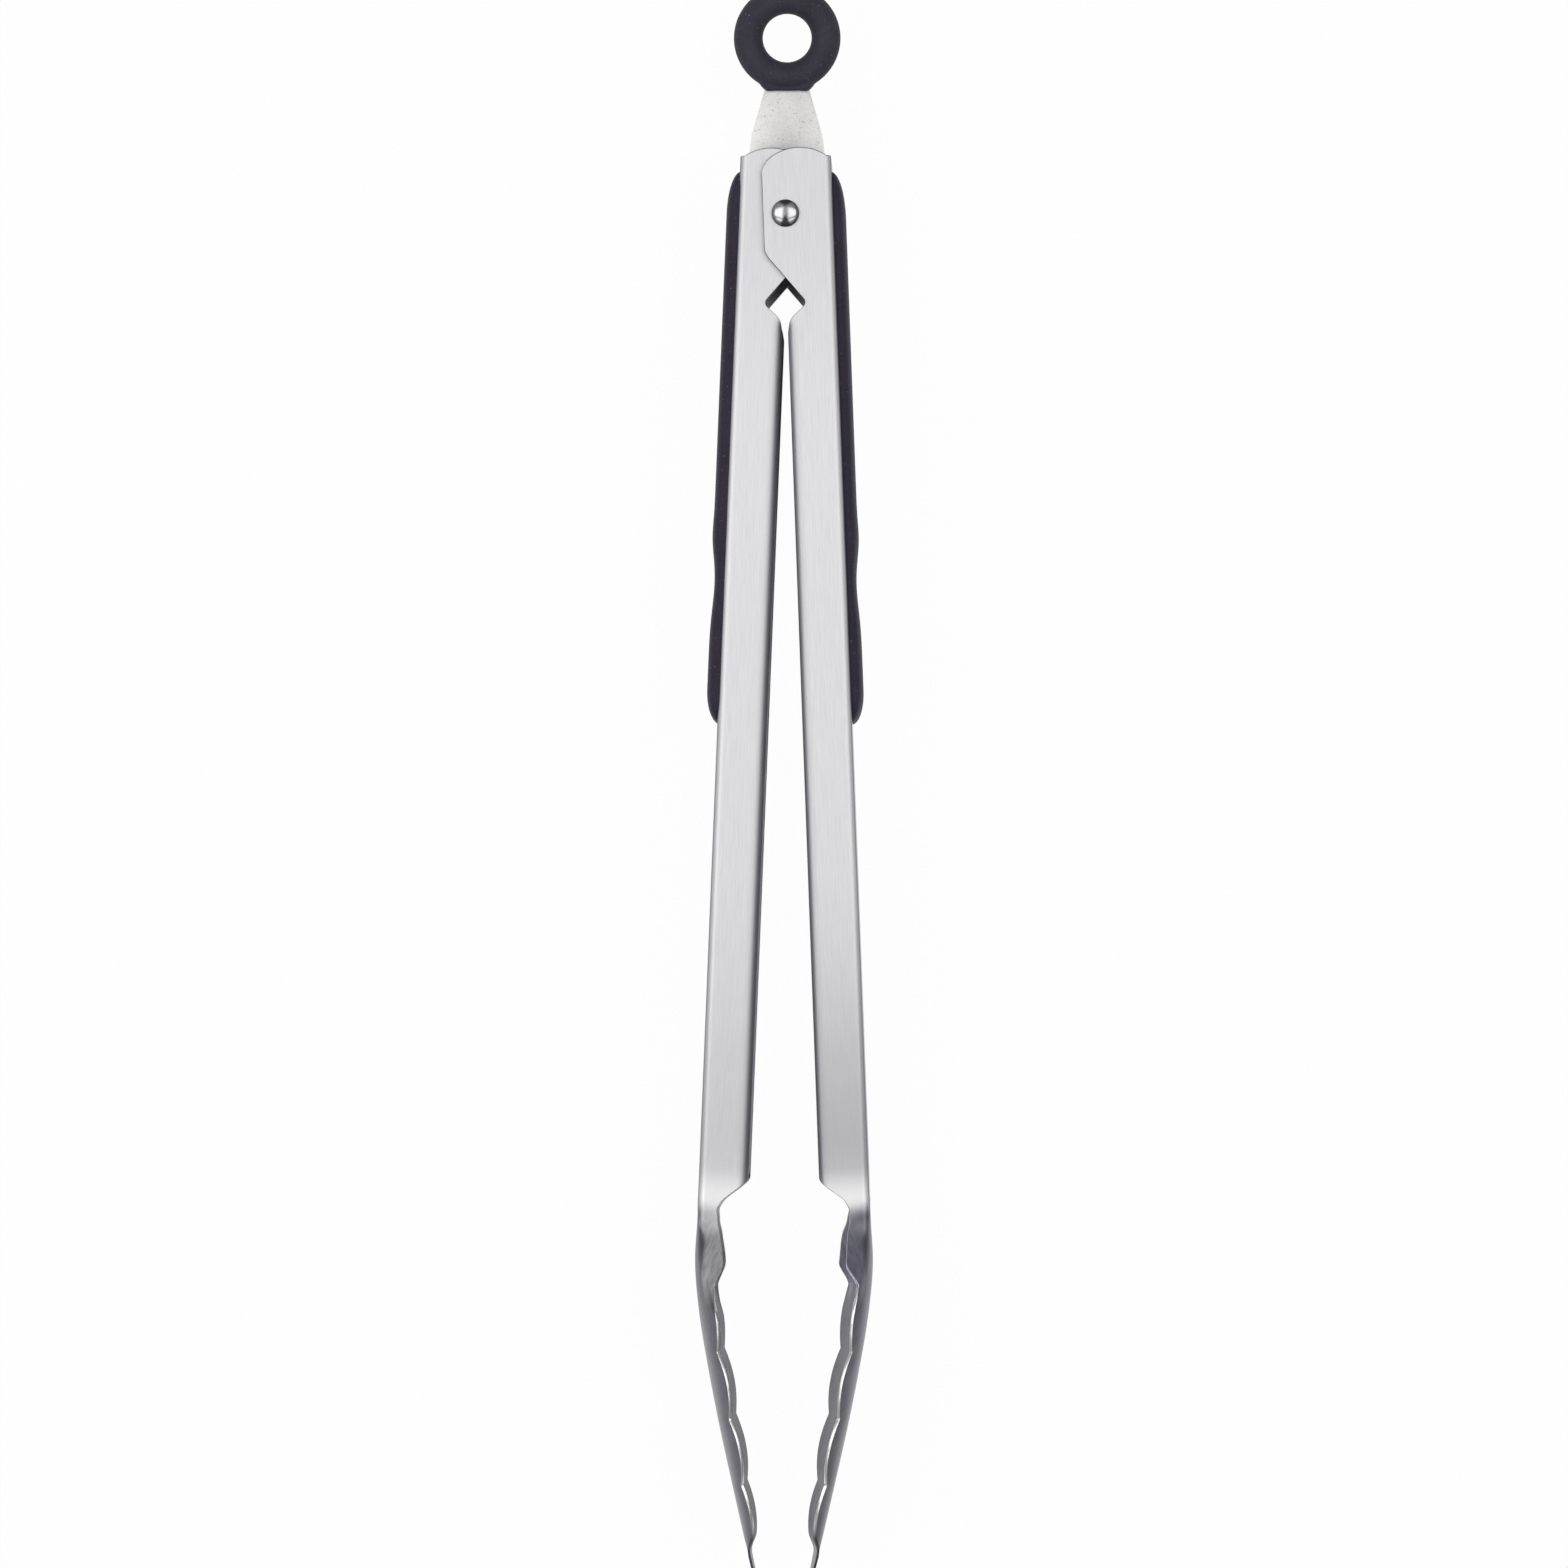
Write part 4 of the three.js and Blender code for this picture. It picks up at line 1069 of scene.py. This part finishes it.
def rivet():
    """The rivet: a domed head, a plain shank and a peened tail over the washer."""
    dome_foot, tail_round = HEAD_BASE + 0.2, 0.55
    dome = [
        (RIVET_HEAD_RADIUS * math.sin(t), dome_foot + RIVET_HEAD_HEIGHT * math.cos(t))
        for t in np.linspace(0, math.pi / 2, 28)
    ]
    dome[0] = (0, dome[0][1])
    tail_end, flat_part = TAIL_BASE - RIVET_TAIL_HEIGHT, RIVET_TAIL_RADIUS - tail_round
    tail = [
        (flat_part + tail_round * math.sin(t), tail_end + tail_round * (1 - math.cos(t)))
        for t in np.linspace(0, math.pi / 2, 12)
    ]
    shank = [(RIVET_TAIL_RADIUS, TAIL_BASE), (RIVET_RADIUS, TAIL_BASE), (RIVET_RADIUS, HEAD_BASE)]
    profile = [(0, tail_end), *tail, *shank, (RIVET_HEAD_RADIUS - 0.05, HEAD_BASE), *dome[::-1]]
    points, faces = turned(profile, 128)
    # where the painted shade on the dome lies, in shares of the head's radius
    aside, up = points[:, 0] / RIVET_HEAD_RADIUS, points[:, 1] / RIVET_HEAD_RADIUS
    upper_painted_shade = smooth_step(0.35, 0.6, up - 0.6 * np.abs(aside))
    lower_painted_shade = smooth_step(0, 0.35, -up - 1.8 * np.abs(aside))
    ends = 0.85 * np.maximum(upper_painted_shade, lower_painted_shade)
    rim = np.maximum(smooth_step(0.82, 1, np.hypot(aside, up)), ends)
    made = outward(piece("hinge_rivet", points, faces, RIVET_STEEL, marks={"rim": rim}))
    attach(made, "hinge")
    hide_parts("pivot_rivet")


def tube(inner, outer, low, high):
    """Profile of a tube."""
    return [(inner, low), (outer, low), (outer, high), (inner, high)]


rivet()
lathe_piece(
    "tail_washer",
    tube(WASHER_HOLE, WASHER_RADIUS, TAIL_BASE, WASHER_TOP),
    [0.12, 0.16, 0.16, 0.12],
    WASHER_STEEL,
    "rivet_washer",
)
for label, low, high in (("front", BUSH_LOW, BUSH_HIGH), ("rear", -BUSH_HIGH, -BUSH_LOW)):
    lathe_piece(
        f"{label}_bush_tube",
        tube(BUSH_INNER, BUSH_OUTER, low, high),
        [0.1, 0.2, 0.2, 0.1],
        NYLON,
        f"{label}_bush",
    )


# ---- the two torsion springs


def drawn_wire_nodes():
    """Geometry nodes that turn a line of points into wire of a given thickness, with capped ends."""
    tree = bpy.data.node_groups.new("drawn_wire", "GeometryNodeTree")
    for socket, kind in (("Line", "Geometry"), ("Wire thickness", "Float"), ("Sides", "Int")):
        tree.interface.new_socket(socket, in_out="INPUT", socket_type="NodeSocket" + kind)
    tree.interface.new_socket("Wire", in_out="OUTPUT", socket_type="NodeSocketGeometry")
    given = add_node(tree, "NodeGroupInput").outputs
    radius = {0: given["Wire thickness"], 1: 0.5}
    radius = add_node(tree, "ShaderNodeMath", radius, operation="MULTIPLY").outputs[0]
    section = {"Resolution": given["Sides"], "Radius": radius}
    ring = add_node(tree, "GeometryNodeCurvePrimitiveCircle", section).outputs[0]
    curve = add_node(tree, "GeometryNodeMeshToCurve", {"Mesh": given["Line"]}).outputs[0]
    swept = {"Curve": curve, "Profile Curve": ring, "Fill Caps": True}
    wire = add_node(tree, "GeometryNodeCurveToMesh", swept).outputs[0]
    wire = add_node(tree, "GeometryNodeSetShadeSmooth", {"Geometry": wire}).outputs[0]
    wire = add_node(tree, "GeometryNodeRealizeInstances", {"Geometry": wire}).outputs[0]
    painted = {"Geometry": wire, "Material": SPRING_WIRE}
    wire = add_node(tree, "GeometryNodeSetMaterial", painted).outputs[0]
    add_node(tree, "NodeGroupOutput", {"Wire": wire})
    return tree


DRAWN_WIRE = drawn_wire_nodes()


def wire_piece(name, path):
    """Spring wire that follows a path of points."""
    line = bpy.data.meshes.new(name + "_line")
    line.from_pydata(to_frame(path).tolist(), [(i, i + 1) for i in range(len(path) - 1)], [])
    made = placed(name, line)
    sweep = made.modifiers.new("drawn_wire", "NODES")
    sweep.node_group = DRAWN_WIRE
    sizes = {"Wire thickness": WIRE_THICKNESS * MM, "Sides": WIRE_SIDES}
    for socket in DRAWN_WIRE.interface.items_tree:
        if socket.name in sizes:
            sweep[socket.identifier] = sizes[socket.name]
    return settled(made)


def coil_path(first_turn, last_turn):
    """Part of the coil's centre line, in turns from the lower leg."""
    turns = np.linspace(first_turn, last_turn, max(int(72 * (last_turn - first_turn)), 8))
    angle = turns * 2 * math.pi
    height = COIL_LOW + (COIL_HIGH - COIL_LOW) * turns / COIL_TURNS
    return np.stack([COIL_RADIUS * np.cos(angle), COIL_RADIUS * np.sin(angle), height], 1)


def leg_path(height):
    """A leg from the coil's right-hand side down to the web, bent to lie flat on it at its end."""
    web_at_end = WEB_OFFSET - SHEET + SPRING_LEG_REACH * math.tan(REST_LEAN)
    reach_x = web_at_end - WIRE_THICKNESS / 2 - LEG_GAP
    t = np.linspace(0, 1, 40)[1:]
    early = 1.02  # the bend is done just before the leg's end
    y = -SPRING_LEG_REACH * t
    x = COIL_RADIUS + (reach_x - COIL_RADIUS) * smooth_step(0, 1, t * early)
    return np.stack([x, y, np.full_like(x, height)], 1)


def spring(face):
    """One torsion spring: a coil round its bush, and a leg against each arm's web. face is 1 for
    the one at the front and -1 for the one at the rear, which is turned round."""
    turned_round = np.array([face, 1, face])
    mirror = np.array([-1, 1, 1])
    label = "front" if face > 0 else "rear"
    winding = coil_path(COIL_TRIM, COIL_TURNS - COIL_TRIM)
    coil = wire_piece(f"{label}_spring_coil", winding * turned_round)
    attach(coil, "hinge")
    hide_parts(f"{label}_spring")
    near = np.concatenate([coil_path(0, LEG_OVERLAP)[::-1], leg_path(COIL_LOW)])
    last_turn = coil_path(COIL_TURNS - LEG_OVERLAP, COIL_TURNS)
    far = np.concatenate([last_turn, leg_path(COIL_HIGH) * mirror])
    for path, side in ((near, face), (far, -face)):
        name = "right" if side > 0 else "left"
        leg = wire_piece(f"{label}_spring_{name}_leg", path * turned_round)
        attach(leg, f"{name}_arm")


spring(1)
spring(-1)


# ---- lock slide and pull ring


def listed_in_order(mesh):
    """Lists the mesh's faces afresh, each from its lowest corner and all in one fixed order,
    because a bevel leaves its corner faces in any order and starting from any corner."""
    points = [corner.co.copy() for corner in mesh.vertices]
    faces = []
    for face in mesh.polygons:
        corners = list(face.vertices)
        lowest = corners.index(min(corners))
        faces.append(corners[lowest:] + corners[:lowest])
    mesh.clear_geometry()
    mesh.from_pydata(points, [], sorted(faces))


def lock_slide():
    """The punched slide: a tapered tab above the arms and a slotted foot round the rivet."""
    # the right half of the outline from the foot up, each corner with its radius
    half = [
        (PLATE_HALF_WIDTH - 1.5, PLATE_FOOT, 0.5),
        (PLATE_HALF_WIDTH, PLATE_FOOT + 1.5, 0.5),
        (PLATE_HALF_WIDTH, PLATE_TOP, 1.0),
        (*TAB_SHOULDER, 0.5),
        (*TAB_FLANK, 3.0),
        (TAB_NECK_HALF_WIDTH, TAB_TOP, 0.0),
        (TONGUE_HALF_WIDTH, TAB_TOP, 0.0),
        (TONGUE_HALF_WIDTH, TAB_TOP + TONGUE_LENGTH, 0.5),
    ]
    outline = [(x, y) for x, y, _ in half] + [(-x, y) for x, y, _ in half[::-1]]
    radii = [r for *_, r in half] + [r for *_, r in half[::-1]]
    edge = rounded(outline, radii, 8)
    slot = [
        (SLOT_RADIUS * math.cos(t), end + SLOT_RADIUS * math.sin(t))
        for end, start in ((SLOT_TOP, 0), (SLOT_FOOT, math.pi))
        for t in np.linspace(start, start + math.pi, 25)
    ]
    shape = bmesh.new()
    for loop in (edge, slot):
        rear = to_frame([(x + LOCK_ASIDE, y, -PLATE_THICKNESS / 2) for x, y in loop])
        corners = [shape.verts.new(corner) for corner in rear]
        for i, corner in enumerate(corners):
            shape.edges.new((corners[i - 1], corner))
    filled = bmesh.ops.triangle_fill(shape, edges=shape.edges, use_beauty=True, use_dissolve=False)
    sheet_faces = [f for f in filled["geom"] if isinstance(f, bmesh.types.BMFace)]
    lifted = bmesh.ops.extrude_face_region(shape, geom=sheet_faces)
    raised = [v for v in lifted["geom"] if isinstance(v, bmesh.types.BMVert)]
    bmesh.ops.translate(shape, verts=raised, vec=(0, 0, PLATE_THICKNESS * MM))
    bmesh.ops.recalc_face_normals(shape, faces=shape.faces)
    mesh = bpy.data.meshes.new("lock_slide_plate")
    shape.to_mesh(mesh)
    shape.free()
    mesh.materials.append(SLIDE_STEEL)
    made = placed("lock_slide_plate", mesh)
    bevel = made.modifiers.new("punched_edge", "BEVEL")
    bevel.width = PUNCHED_EDGE * MM
    bevel.segments = 3
    bevel.limit_method = "ANGLE"
    bevel.angle_limit = math.radians(50)
    settled(made)
    listed_in_order(made.data)
    made.data.shade_smooth()
    made.data.set_sharp_from_angle(angle=math.radians(35))
    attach(made, "lock")
    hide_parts("lock_slide")


def pull_ring():
    """The moulded ring and its collar over the tab, flowing into each other."""
    around, about = RING_PROFILE
    turn = np.arange(around) * 2 * math.pi / around
    roll = np.arange(about) * 2 * math.pi / about
    radius = RING_RADIUS + RING_SECTION * np.cos(roll)[None, :]
    x = radius * np.sin(turn)[:, None]
    y = RING_CENTRE - radius * np.cos(turn)[:, None]
    z = np.broadcast_to(RING_SECTION * np.sin(roll)[None, :], x.shape)
    ring_points = np.stack([x, y, z], -1).reshape(-1, 3)
    ring_faces = loop_quads(around, about, ends_meet=True)
    low, high = TAB_TOP + 0.05, TAB_TOP + COLLAR_TOP
    widths = [(x, low + up) for x, up in COLLAR_HALF_WIDTHS] + [(COLLAR_TOP_HALF_WIDTH, high)]
    outline = [(x, y) for x, y in widths] + [(-x, y) for x, y in widths[::-1]]
    collar_points = [(x, y, z) for z in (-COLLAR_HALF_DEPTH, COLLAR_HALF_DEPTH) for x, y in outline]
    count = len(outline)
    collar_faces = [list(range(count))[::-1], list(range(count, 2 * count))]
    collar_faces += [[i, (i + 1) % count, count + (i + 1) % count, count + i] for i in range(count)]
    points, faces = joined([(ring_points, ring_faces), (collar_points, collar_faces)])
    points[:, 0] += LOCK_ASIDE
    made = outward(piece("pull_ring", points, faces, RING_RUBBER))
    remesh = made.modifiers.new("moulded_in_one", "REMESH")
    remesh.mode = "VOXEL"
    remesh.voxel_size = MOULDED_GRAIN * MM
    soften = made.modifiers.new("softened_corners", "SMOOTH")
    soften.factor = 0.5
    soften.iterations = 5
    settled(made)
    made.data.shade_smooth()
    made.data.materials.clear()
    made.data.materials.append(RING_RUBBER)
    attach(made, "lock")
    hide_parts("hanging_ring")


lock_slide()
pull_ring()


# ---- camera, lamps and table

CAMERA_AT = (35.0, -195.8, 1681.3)
CAMERA_AIM = (-0.06, -122.45, 11.3)
CAMERA_ROLL = math.radians(0.11)
FOCAL_LENGTH = 179.7  # millimetres, on a sensor 36 wide
CLIP_END = 20

LEFT_WALL_LIGHT = 0.33
RIGHT_WALL_LIGHT = 0.12
CEILING_LIGHT = 0.4
WALL_SPREAD = 0.8
TABLE_WHITENESS = 0.97
TABLE_HALF = 6  # metres

camera = bpy.data.cameras.new("camera")
camera.sensor_width = 36
camera.lens = FOCAL_LENGTH
camera.clip_end = CLIP_END
camera_object = placed("camera", camera)
at, aim = to_frame([CAMERA_AT, CAMERA_AIM])
camera_object.location = at
toward_camera = Vector(at - aim).normalized()
up_hint = Vector((math.sin(-CAMERA_ROLL), math.cos(CAMERA_ROLL), 0))
rightward = up_hint.cross(toward_camera).normalized()
upward = toward_camera.cross(rightward)
camera_object.rotation_euler = Matrix((rightward, upward, toward_camera)).transposed().to_euler()
bpy.context.scene.camera = camera_object


def softbox(name, place, turn, size, radiance):
    """A softbox that hangs level and faces down. Its brightness is that of its white cloth."""
    lamp = bpy.data.lights.new(name, "AREA")
    lamp.shape = "RECTANGLE"
    lamp.size, lamp.size_y = size
    lamp.energy = radiance * math.pi * size[0] * size[1]
    made = placed(name, lamp)
    made.location = place
    made.rotation_euler = (0, 0, math.radians(turn))


# each softbox: its place in metres, its turn in degrees, its size in metres and its radiance
softbox("left_softbox", (-1.45, 0.42, 1.75), -5, (2.3, 1.35), 1.58)
softbox("right_softbox", (1.45, 0.44, 1.75), 5, (2.3, 1.3), 1.42)
softbox("left_low_softbox", (-1.25, -0.9, 1.75), -3, (1.6, 0.6), 1.35)
softbox("right_low_softbox", (1.25, -0.9, 1.75), 3, (1.6, 0.6), 1.2)


def studio_dimness():
    """The room round the table: a pale wall at the left, a dark one at the right, a paler ceiling."""
    room = bpy.data.worlds.new("dim_studio")
    room.use_nodes = True
    tree = room.node_tree
    direction = add_node(tree, "ShaderNodeTexCoord").outputs["Generated"]
    ways = add_node(tree, "ShaderNodeSeparateXYZ", {"Vector": direction}).outputs
    wall = {"Value": ways["X"], "From Min": -WALL_SPREAD, "From Max": WALL_SPREAD}
    wall.update({"To Min": LEFT_WALL_LIGHT, "To Max": RIGHT_WALL_LIGHT})
    wall = add_node(tree, "ShaderNodeMapRange", wall).outputs[0]
    height = add_node(tree, "ShaderNodeMapRange", {"Value": ways["Z"]}).outputs[0]
    shade = add_node(tree, "ShaderNodeMix", {0: height, 2: wall, 3: CEILING_LIGHT}).outputs[0]
    tree.links.new(shade, tree.nodes["Background"].inputs["Strength"])
    tree.nodes["Background"].inputs["Color"].default_value = (1, 1, 1, 1)
    return room


def white_table():
    """White laminate. The eye and the steel see it as plain white, so shadows on it stay faint."""
    made = bpy.data.materials.new("white_table")
    made.use_nodes = True
    tree = made.node_tree
    laminate = tree.nodes["Principled BSDF"]
    laminate.inputs["Base Color"].default_value = linear("#f3f3f3")
    laminate.inputs["Roughness"].default_value = 1
    laminate.inputs["Specular IOR Level"].default_value = 0
    glow = add_node(tree, "ShaderNodeEmission").outputs[0]
    seen = add_node(tree, "ShaderNodeLightPath").outputs
    share = seen["Is Camera Ray"]
    for way, other in (
        ("MAXIMUM", seen["Is Glossy Ray"]),
        ("MAXIMUM", seen["Is Transmission Ray"]),
        ("MULTIPLY", TABLE_WHITENESS),
    ):
        share = add_node(tree, "ShaderNodeMath", {0: share, 1: other}, operation=way).outputs[0]
    surface = {0: share, 1: laminate.outputs[0], 2: glow}
    mixed = add_node(tree, "ShaderNodeMixShader", surface).outputs[0]
    tree.links.new(mixed, tree.nodes["Material Output"].inputs["Surface"])
    return made


bpy.context.scene.world = studio_dimness()
table_mesh = bpy.data.meshes.new("table")
corners = [(x * TABLE_HALF, y * TABLE_HALF, 0) for x, y in ((-1, -1), (1, -1), (1, 1), (-1, 1))]
table_mesh.from_pydata(corners, [], [(0, 1, 2, 3)])
table_mesh.materials.append(white_table())
table = placed("table", table_mesh)

bpy.context.scene.view_settings.view_transform = "Standard"
